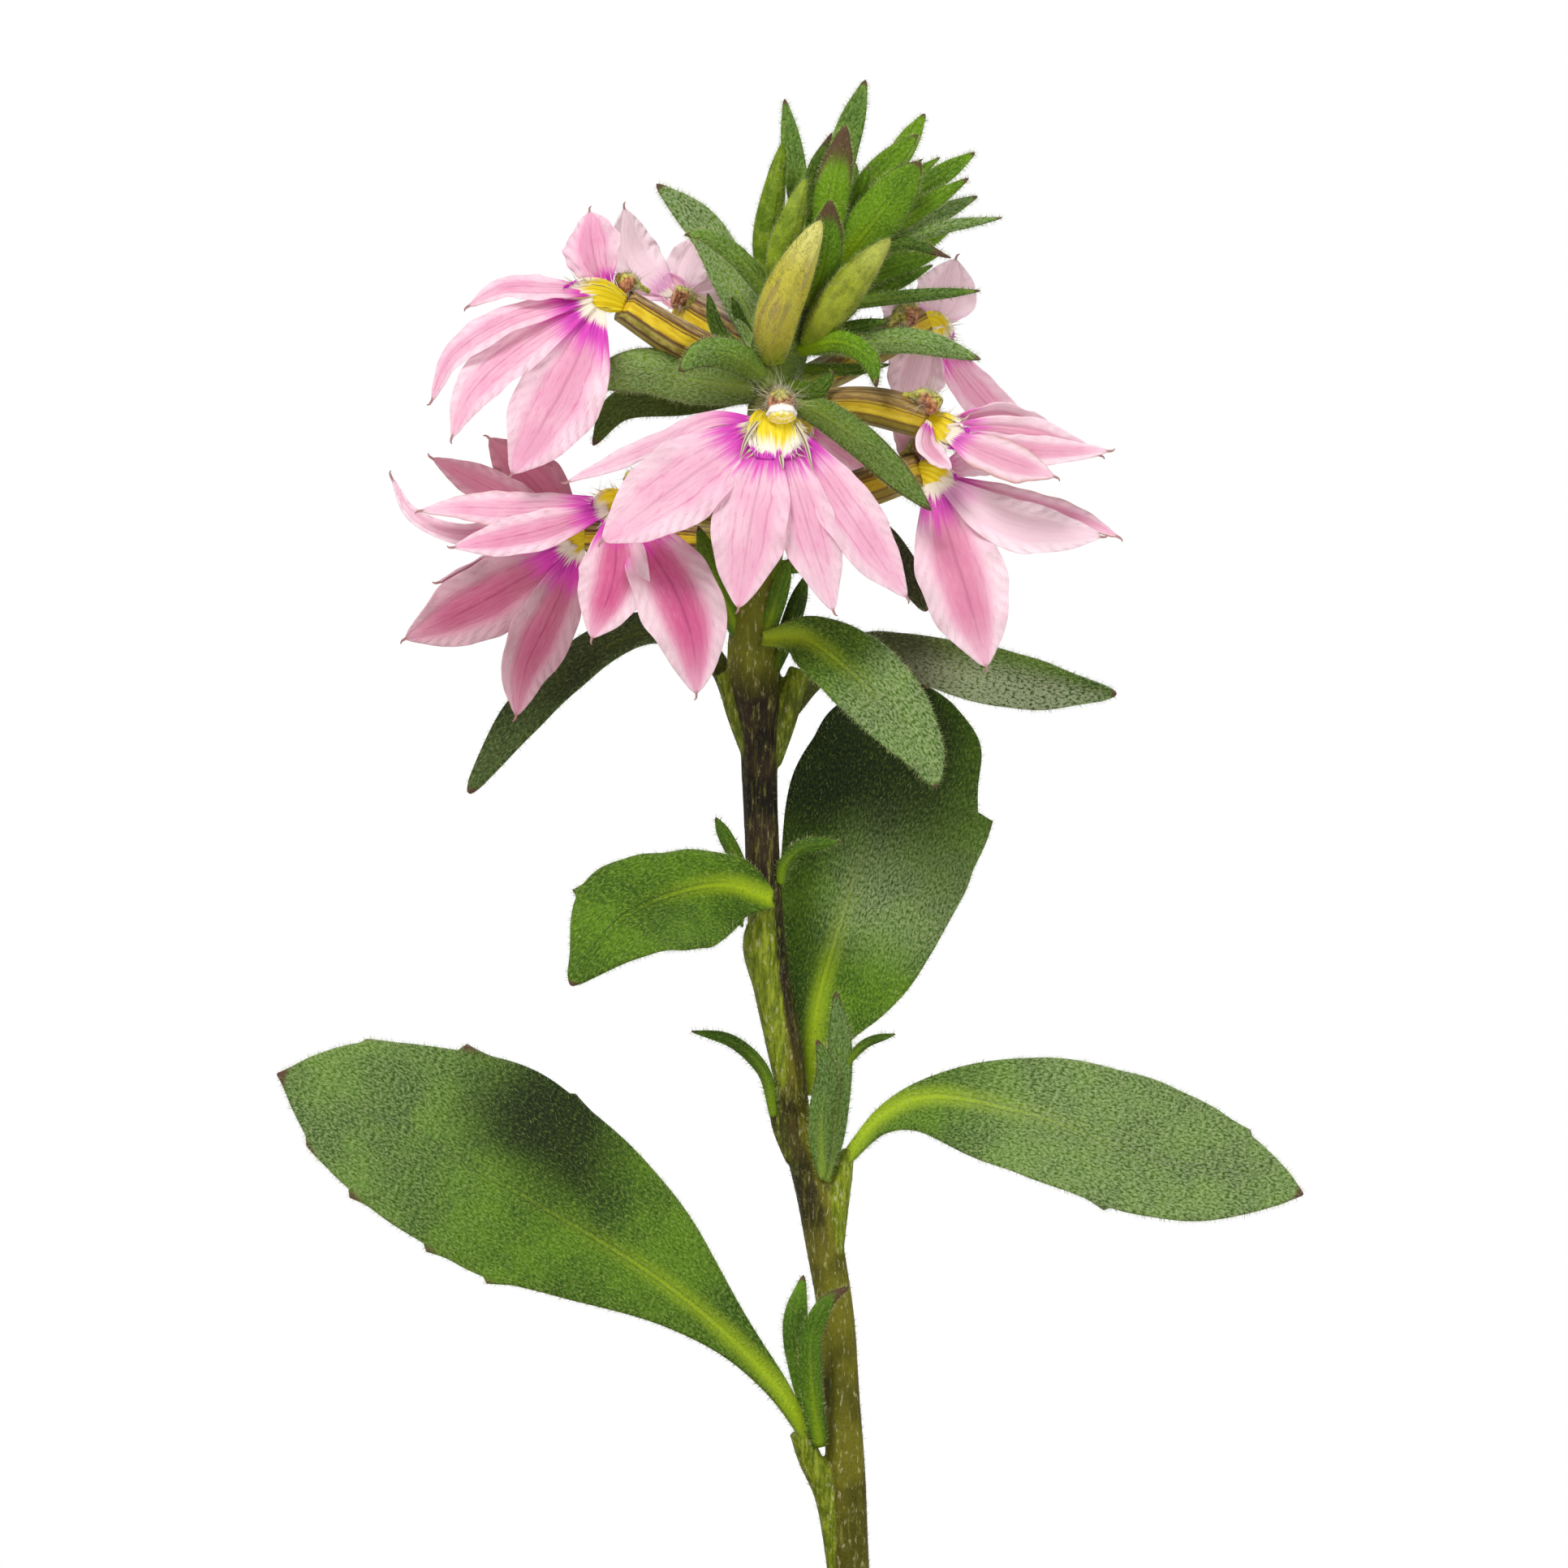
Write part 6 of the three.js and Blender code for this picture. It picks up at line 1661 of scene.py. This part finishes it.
FLOWERS = {
    "front": dict(
        tube=[[-5.7, -1.4, 180], [-5.7, -5.2, 180], [-5.6, -8.8, 179.2]],
        throat=[[-5.6, -8.4, 179.4], [-5.7, -9.8, 178.6], [-5.7, -10.7, 175.8]],
        style=[[-5.5, -6.2, 180.7], [-5.35, -8.4, 180.5], [-5.25, -9.9, 179.9], [-5.2, -10.5, 178.6]],
        look=(0.1, 0, 0), mouth=1.1, lip=1, shaded=1,
        folds=[[[-7, -10.3, 178.6], [-7.8, -10.9, 177.4], [-8.3, -11.2, 175.9]],
               [[-4.2, -10.3, 178.5], [-3.5, -10.9, 177.2], [-2.9, -11.3, 175]],
               [[-5.3, -11.1, 176.2], [-5.2, -11.3, 175.7], [-5.1, -11.5, 175.1]]],
        lobes=[
            lobe([[-6.2, -9.4, 178.5], [-10.2, -9.6, 178.8], [-14, -9.6, 177.1], [-21, -8.4, 174.2]], 0.8,
                 -1.2),
            lobe([[-6.8, -9.8, 178.2], [-12.6, -11.6, 174.1], [-18.4, -11.6, 169.8]], 3.1, -0.15),
            lobe([[-6, -10, 177.6], [-7.4, -12, 171.6], [-8.4, -11.6, 164.9]], 2.8, -0.1),
            lobe([[-5.2, -10, 177.6], [-3.5, -11.6, 171.6], [-1.4, -11.2, 164.7]], 2.1, 0.15),
            lobe([[-4.4, -9.8, 178], [-0.3, -11, 171.9], [2, -11, 168.4], [4, -10.6, 165.7]], 2.15, 0.25),
        ]),
    "upper_left": dict(
        tube=[[-6.4, 0, 183], [-9.4, -0.4, 183.4], [-12.6, -1.8, 184.7], [-16.8, -3.6, 187.3]],
        throat=[[-16.8, -3.7, 187.4], [-18.8, -4.8, 188], [-21.4, -5.5, 187.8]],
        style=[[-15, -2.6, 188.3], [-16.4, -3.2, 189], [-17.2, -3.9, 188.9]], look=(0.25, 0, 0),
        mouth=0.7, cup=0.7,
        lobes=[
            lobe([[-18.2, -4, 188.4], [-19, -3.6, 191], [-19.4, -2.4, 194.2]], 2.1, 0.6),
            lobe([[-18.8, -4.6, 188.2], [-22.6, -5.8, 188.5], [-26, -6, 188.4], [-28.3, -5.6, 187.2]], 0.9,
                 -1.3),
            lobe([[-19.2, -5, 187.8], [-25.4, -7.2, 186.1], [-29.4, -8, 183.4], [-31, -7.8, 180.2]], 1.1,
                 -0.9),
            lobe([[-19.2, -5.2, 187.4], [-24.6, -7.6, 184], [-28, -8.8, 180.8], [-29.5, -8.4, 177.5]], 1.8,
                 -0.4),
            lobe([[-18.8, -5, 187], [-20.7, -7, 182.4], [-23, -8.2, 178.2], [-25.1, -8, 174.8]], 3.2, 0.1),
        ]),
    "back_left": dict(
        tube=[[-5.8, 1.6, 183.8], [-8.8, 4.4, 185.2], [-12.4, 7.4, 187.4]],
        throat=[[-12.2, 7.2, 187.4], [-13, 8.4, 188.2], [-14, 9.4, 189.4]],
        style=[[-11.2, 6, 186.8], [-12.2, 6, 187.8], [-13.3, 5.8, 188.2]], look=(0, 0, 1), pink=0.9,
        mouth=0.6, cup=0.8,
        lobes=[
            lobe([[-13.3, 8.6, 188.2], [-16.2, 10.4, 191.2], [-16.9, 10, 194.7]], 1.9, -0.2),
            lobe([[-12.8, 8.6, 188.2], [-12, 10.4, 190.6], [-11, 10.2, 192.6]], 1.7, 0.2),
            lobe([[-12.6, 8.4, 187.8], [-9.8, 9.8, 186.8], [-7.6, 9.6, 183.4]], 1.6, 0.3),
            lobe([[-13, 8.4, 188], [-16, 10, 188.8], [-19.6, 9.8, 188.8]], 1.1, -0.5),
            lobe([[-12.4, 8.6, 188], [-10, 10.8, 188.9], [-7.2, 10.8, 190]], 1.5, 0.5),
        ]),
    "back_right": dict(
        tube=[[-4.4, 1.2, 181.4], [-1.4, 3.2, 182.6], [1.6, 4.2, 184.4], [5.2, 6, 186.3]],
        throat=[[5, 5.8, 186.3], [6, 6.8, 185.8], [6.8, 7.4, 184.4]],
        style=[[2.6, 3.2, 186], [3.6, 3.2, 186.7], [4.8, 3.6, 186.7]], look=(0, 0, 0.9), aged=0.4,
        mouth=0.7, cup=0.8,
        lobes=[
            lobe([[5.8, 6.8, 185.8], [7, 8.4, 188.4], [7.7, 8.8, 190.9]], 2.3, 0),
            lobe([[6, 7, 185.4], [8.5, 8.2, 181.8], [11.2, 8, 179], [14.5, 7.4, 176.8]], 1.6, 0.2,
                 look=(0.2, 0, 0)),
            lobe([[5.8, 6.8, 185.2], [4.9, 8.2, 182.6], [3.8, 8, 179.8]], 2.2, -0.2),
            lobe([[5.4, 7, 185.8], [4, 10, 187], [2.4, 12.6, 187.8]], 1.3, -0.6),
            lobe([[5.6, 7, 185.2], [4.4, 10.2, 184.6], [2.4, 12.8, 184.2]], 1.3, 0.4),
        ]),
    "right": dict(
        tube=[[-4, -1.4, 180], [1.6, -3, 179.8], [5.6, -4.2, 178.7]],
        throat=[[5.4, -4.2, 179], [6.9, -5, 178.1], [8.4, -5.6, 177.2]],
        style=[[3.8, -3.8, 180.7], [5.2, -4.7, 180.5], [6.3, -5.3, 179.7]], look=(0.65, 0, 0.35), aged=0.7,
        mouth=0.65, cup=0.75,
        lobes=[
            lobe([[7, -5, 178.2], [12.2, -6.2, 177.7], [18.2, -6.2, 176.2]], 1.5, -0.3),
            lobe([[7.2, -5.2, 178], [12.6, -6.8, 176.6], [18.9, -6.8, 176.5]], 1.1, 0.4),
            lobe([[7, -5.4, 177.6], [11.2, -7.6, 175.8], [14.9, -7.8, 174.6]], 1.5, 0.5, rim=0.9),
            lobe([[5.6, -5.2, 178.7], [5.6, -6.9, 176.8], [7.3, -7.6, 175.1]], 0.85, 0.8),
            lobe([[6.8, -4.6, 178.6], [11, -3.2, 178.9], [15.5, -1.8, 177.6]], 1.3, -0.8),
        ]),
    "lower_right": dict(
        tube=[[-5, 0.6, 171.8], [-0.6, -0.6, 173.3], [5, -2, 175.2]],
        throat=[[4.8, -2, 175.2], [6, -2.6, 174.8], [7.4, -3, 173.8]],
        style=[[3.6, -1, 176.2], [4.7, -1.4, 176.9], [5.7, -2, 176.8]], look=(0.55, 0, 0.6), aged=0.7,
        mouth=0.65, cup=0.7,
        lobes=[
            lobe([[6, -2.8, 174.2], [7.5, -4.4, 169], [8.8, -4.6, 164.8], [9.9, -4, 160.6]], 3.25, 0.1,
                 look=(0.75, 0, 0.2)),
            lobe([[6.4, -2.8, 174.4], [11.5, -4.6, 171.2], [18.4, -4.2, 170.2]], 1.9, 0.2, look=(0.25, 0, 1)),
            lobe([[6.4, -2.6, 174.6], [12.6, -3.4, 172.6], [17.4, -3.6, 171.2], [19.6, -4, 170.2]], 1.1, 0.7,
                 look=(0.5, 0, 0.25), rim=0.8),
            lobe([[6.2, -2.2, 175], [9.6, -0.6, 176.2], [13.4, 0.2, 176.4]], 1.3, -0.8),
            lobe([[6, -2.2, 174.8], [4.6, -0.4, 176.6], [3.1, 0.8, 178.2]], 1.2, 0.6),
        ]),
    "left": dict(
        tube=[[-7.2, -1.2, 172], [-12, -3.6, 172.6], [-16.8, -5.2, 172.8]],
        throat=[[-16.6, -5.2, 172.8], [-17.8, -5.8, 172.6], [-19, -6.4, 171.8]],
        style=[[-14.6, -4.2, 173.6], [-15.6, -4.8, 174.4], [-16.5, -5.6, 174.2]], look=(0.9, 0.1, 0),
        mouth=0.65, cup=0.7,
        lobes=[
            lobe([[-18, -5.4, 172.2], [-25, -5, 170.8], [-29.4, -5, 170.4], [-32.6, -5.4, 172],
                  [-34, -5.6, 174.6]], 0.8, -0.6, look=(0.2, 0, 0.3)),
            lobe([[-18, -5.8, 172.8], [-24.5, -6.4, 172.2], [-28.8, -6.6, 172.3], [-31.8, -6.4, 172.1]],
                 1.25, -0.6, look=(0.25, 0, 0.1), rim=0.4),
            lobe([[-18, -6.2, 172.2], [-24, -7.6, 170.4], [-29.4, -7.4, 169.4]], 1.5, -0.2,
                 look=(0.45, 0, 0)),
            lobe([[-17.4, -6.2, 172], [-17.6, -8.2, 167], [-19.2, -8.4, 162.7]], 2.6, -0.1),
            lobe([[-17, -6.2, 172], [-13.3, -8.4, 166.6], [-11.8, -8.6, 162.4], [-11.5, -8, 158.6]], 3.1,
                 0.15),
        ]),
    "lower_left": dict(
        tube=[[-8, 1, 170], [-14, 2.6, 170.2], [-19.6, 3.6, 170.2]],
        throat=[[-19.4, 3.6, 170.2], [-20.6, 4, 170], [-21.8, 4.4, 169.2]],
        style=[[-17.4, 4, 171.2], [-18.6, 4.6, 172], [-19.6, 4.4, 172.2]], look=(0.7, 0.5, 0),
        mouth=0.55, cup=0.8,
        lobes=[
            lobe([[-20.6, 4.2, 170.4], [-26.8, 5.8, 173.8], [-31.1, 6, 176.1]], 1.5, -0.3,
                 look=(0.3, 0.8, 0)),
            lobe([[-20.2, 4.2, 170.6], [-23.6, 6.4, 174.4], [-26.9, 6.8, 177.6]], 2.2, 0.2, look=(0.3, 1, 0)),
            lobe([[-20.8, 4, 169.8], [-26.4, 4.6, 168.4], [-30.6, 4.6, 166.9]], 0.8, 0.8),
            lobe([[-20.6, 4, 169.6], [-27.2, 4.8, 165.6], [-33.1, 4.4, 162.7]], 2.8, 0.2),
            lobe([[-20.2, 4, 169.6], [-22.4, 5, 164.4], [-24.2, 5, 160.6], [-24.9, 4.4, 157]], 2.3, 0.2),
        ]),
    "back": dict(
        tube=[[-5.4, 1.6, 180], [-5, 5.4, 180.2], [-4.7, 8.8, 179.6]],
        throat=[[-4.7, 8.6, 179.6], [-4.7, 9.8, 178.6], [-4.7, 10.2, 176.8]],
        style=[[-4.9, 6.4, 181.2], [-4.8, 8, 181.4], [-4.7, 9.4, 181]], look=(0.2, 0, 0),
        mouth=1,
        lobes=[
            lobe([[-5.6, 9.6, 178.8], [-9, 10.2, 178], [-12.2, 9.6, 176.2]], 1.2, 0.8),
            lobe([[-5.4, 9.9, 178.4], [-8.4, 11.8, 174.6], [-10.8, 11.8, 171]], 2.1, 0.2),
            lobe([[-4.9, 10, 178], [-5.8, 12, 173], [-6.4, 11.8, 168.2]], 2.2, 0),
            lobe([[-4.4, 9.9, 178.2], [-3, 11.6, 173.4], [-1.8, 11.4, 169]], 2, -0.2),
            lobe([[-4, 9.6, 178.8], [-0.4, 10.6, 177], [3, 10.4, 174.6]], 1.6, -0.6),
        ]),
}

print(len(FLOWERS), "open flowers with", sum(len(flower["lobes"]) for flower in FLOWERS.values()), "lobes")

# %% [markdown]
# ## The open flowers
# A fan flower is a tube, slit along its back, whose five lobes all spread to one side like a fan. Each
# lobe has a firm middle and two thin wings that ruffle at their rims. The style arches out of the slit
# and ends in a hairy pollen cup. Tube, throat and lobes are one piece, as they grew, and the style is its
# own piece.

# %% The open flowers
PETAL_THICKNESS = 0.2
THROAT_THICKNESS = 0.1
LOBE_STEPS = (72, 28)
TUBE_STEPS = (50, 40)
THROAT_STEPS = (36, 24)
STYLE_STEPS = (72, 28)
LOBE_SHAPE = [0.2, 0.55, 0.86, 1, 0.93, 0.6, 0.08]
LOBE_PLACES = 25
TUBE_RADIUS = [1, 1.3, 1.45, 1.25]
THROAT_HALF = [0.95, 1.4, 1.78, 1.9, 1.7, 1.2]
THROAT_CUP = 0.1
FOLD_WIDTHS = [0.14, 0.17, 0.13, 0.03]
FOLD_STEPS = (24, 10)
FOLD_CUP = -0.3
STYLE_RADIUS = [0.3, 0.36, 0.75, 1.02, 1.08, 1.25]
CUP_END = 0.88
CUP_WAISTS = ((0.8, 0.025), (0.915, 0.015))
WAIST_DEPTH = 0.12
LOBE_LENGTH = 5
CREASE_DEPTH = 0.12
CREASE_WIDTH = 0.08
MIDDLE_RISE = 0.07
MIDDLE_WIDTH = 0.14
RUFFLE = 0.1
RUFFLES = 2.6
WRINKLE = 0.03
WIDTH_WAVE = 0.035
HOOK_RADII = [0.1, 0.1, 0.07, 0.03]
HOOK_REACH = ((0.1, 0), (0.35, 0.06), (0.45, 0.2))
HOOK_STEPS = (8, 6)
CUP_HAIR_SEED = 60
CUP_FUZZ_SEED = 70
FRINGE_SEED = 80


def lobe_relief(seed, half_width):
    """Creases beside the firm middle, a low ridge on it, and wings that ruffle and wrinkle."""
    def rise(u, v, half):
        off = np.abs(u)
        crease = -CREASE_DEPTH * np.exp(-(((off - BODY_SHARE) / CREASE_WIDTH) ** 2))
        ridge = MIDDLE_RISE * np.exp(-((off / MIDDLE_WIDTH) ** 2))
        wing = np.clip((off - BODY_SHARE) / (1 - BODY_SHARE), 0, 1) ** 1.5
        turn = 2 * np.pi * (RUFFLES * v + seed) + 1.9 * np.sign(u)
        ruffle = RUFFLE * half * wing * (np.sin(turn) + 0.5 * np.sin(2.3 * turn + 1))
        slanted = v * (LOBE_LENGTH * half_width) - off * half * SIDE_VEIN_SLANT
        veins = 2 * np.pi * slanted / SIDE_VEIN_APART
        wrinkle = WRINKLE * wing * np.sin(veins + 3 * np.sin(5 * v + 9 * seed))
        shape = np.sqrt(np.clip(np.sin(np.pi * v), 0, 1))
        return (crease + ridge) * shape + (ruffle + wrinkle) * smooth_step(v, 0.1, 0.4)
    return rise


def lobe_widths(half, seed):
    """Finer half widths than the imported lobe's, with a slight unevenness."""
    shares = np.linspace(0, 1, LOBE_PLACES)
    widths = spread(LOBE_SHAPE, shares) * half
    unevenness = smooth_step(shares, 0.2, 0.5)
    return [list(widths * (1 + WIDTH_WAVE * np.sin(2 * np.pi * (3.1 * shares + seed + side)) * unevenness))
            for side in (0, SEED_STEP)]


def make_lobe(row, look, seed):
    left, right = lobe_widths(row["half"], seed)

    def stain(u, v, teeth_here):
        return row["rim"] * np.abs(u) ** 9 * smooth_step(v, 0.15, 0.4)

    return sheet(row["line"], left, right, PETAL_THICKNESS, LOBE_STEPS, lean=row["lean"], stain=stain,
                 relief=lobe_relief(seed, row["half"]), look=row["look"] or look, seed=seed, fur=0)


def make_hook(row, look, turn):
    """The small hard point in which a lobe ends."""
    (before, end), heading, _, _ = smooth_line(row["line"], [0.97, 1.0])
    ahead = heading[1]
    side = np.array([-ahead[2], 0, ahead[0]]) * turn
    points = [before] + [end + far * ahead + aside * side for far, aside in HOOK_REACH]
    hook = stalk(points, HOOK_RADII, HOOK_STEPS, look=look, fur=0)
    hook["spot"][:, 1] = 1
    return hook


def throat_relief(u, v, half):
    return 0.12 * np.sin(7 * u + 1) * smooth_step(v, 0.3, 0.8) + 0.05 * np.sin(15 * u)


def throat_fur(u, v):
    """Fringes stand on the sides, and a few on the outer end."""
    return smooth_step(np.abs(u), 0.5, 0.9) * smooth_step(v, 1.0, 0.8) + 0.08 * smooth_step(v, 0.7, 0.95)


def tube_relief(a, v, radius):
    return radius * (0.06 * np.cos(5 * a) + 0.02 * np.cos(12 * a + 3 * v))


def make_corolla(name, flower, start):
    parts = []
    for place, row in enumerate(flower["lobes"]):
        parts.append(make_lobe(row, flower["look"], (start + GOLDEN * place) % 1))
        parts.append(make_hook(row, flower["look"], 1 if place % 2 else -1))
    halves = [half * flower["mouth"] for half in THROAT_HALF]
    parts.append(sheet(flower["throat"], halves, halves, THROAT_THICKNESS, THROAT_STEPS, cup=THROAT_CUP,
                       relief=throat_relief, look=(0, flower.get("pink", 0), 0), fur=throat_fur, seed=start,
                       finish=1))
    for line in flower.get("folds", []):
        parts.append(sheet(line, FOLD_WIDTHS, FOLD_WIDTHS, THROAT_THICKNESS, FOLD_STEPS, cup=FOLD_CUP, fur=0,
                           look=(1, 0, 0), seed=start, finish=1))
    parts.append(stalk(flower["tube"], TUBE_RADIUS, TUBE_STEPS, tube_relief, seed=start, fur=0, finish=2,
                       look=(flower.get("aged", 0), flower.get("shaded", 0), 0)))
    piece = join_parts("petals_" + name, parts, [petal_finish, throat_finish, tube_finish])
    return settle(piece, "petal", "corolla_" + name)


def cup_relief(a, v, radius):
    """The cup is pulled in above its ragged lip, which has a second fold under it and a rounded end."""
    waist = sum(-WAIST_DEPTH * np.exp(-(((v - place) / width) ** 2)) for place, width in CUP_WAISTS)
    ragged = 0.05 * np.cos(9 * a + 2 * np.sin(3 * a)) * smooth_step(v, 0.82, 0.9)
    ribs = 0.04 * np.cos(7 * a) * smooth_step(v, 0.4, 0.7)
    return radius * (waist + ribs + ragged + 0.95 * round_end(v, 1 - CUP_END))


def cup_fur(a, v):
    return smooth_step(v, 0.32, 0.45) * smooth_step(v, 0.88, 0.78)


def make_style(name, flower, start):
    radii = [radius * flower.get("cup", 1) for radius in STYLE_RADIUS]
    part = stalk(flower["style"], radii, STYLE_STEPS, cup_relief, look=(flower.get("lip", 0), 0, 0),
                 seed=start, fur=cup_fur)
    return settle(join_parts("pollen_cup_" + name, [part], [style_finish]), "style", "style_" + name)


for number, (name, flower) in enumerate(FLOWERS.items()):
    start = number / len(FLOWERS)
    petals = make_corolla(name, flower, start)
    add_hairs(petals, throat_hair, "petal", FRINGE_SEED + number, density=10, length=1.0, width=0.06,
              lie=0.85, tangle=0.25, bend=-0.15, joints=2, kind="_fringe")
    cup = make_style(name, flower, start)
    add_hairs(cup, cup_hair, "style", CUP_HAIR_SEED + number, density=10, length=2.1, width=0.02, lie=0.1,
              tangle=0.55, bend=0.3, joints=3)
    add_hairs(cup, cup_hair, "style", CUP_FUZZ_SEED + number, density=45, length=0.5, width=0.016, lie=0.3,
              tangle=0.5, kind="_fuzz")
    print(petals.name, len(petals.data.polygons), "faces, and", hair_faces[-1], "hair faces on its cup")

# %% [markdown]
# ## Hair count
# The hair faces grown on all pieces are added up.

# %% Hair count
print("hair faces", sum(hair_faces))
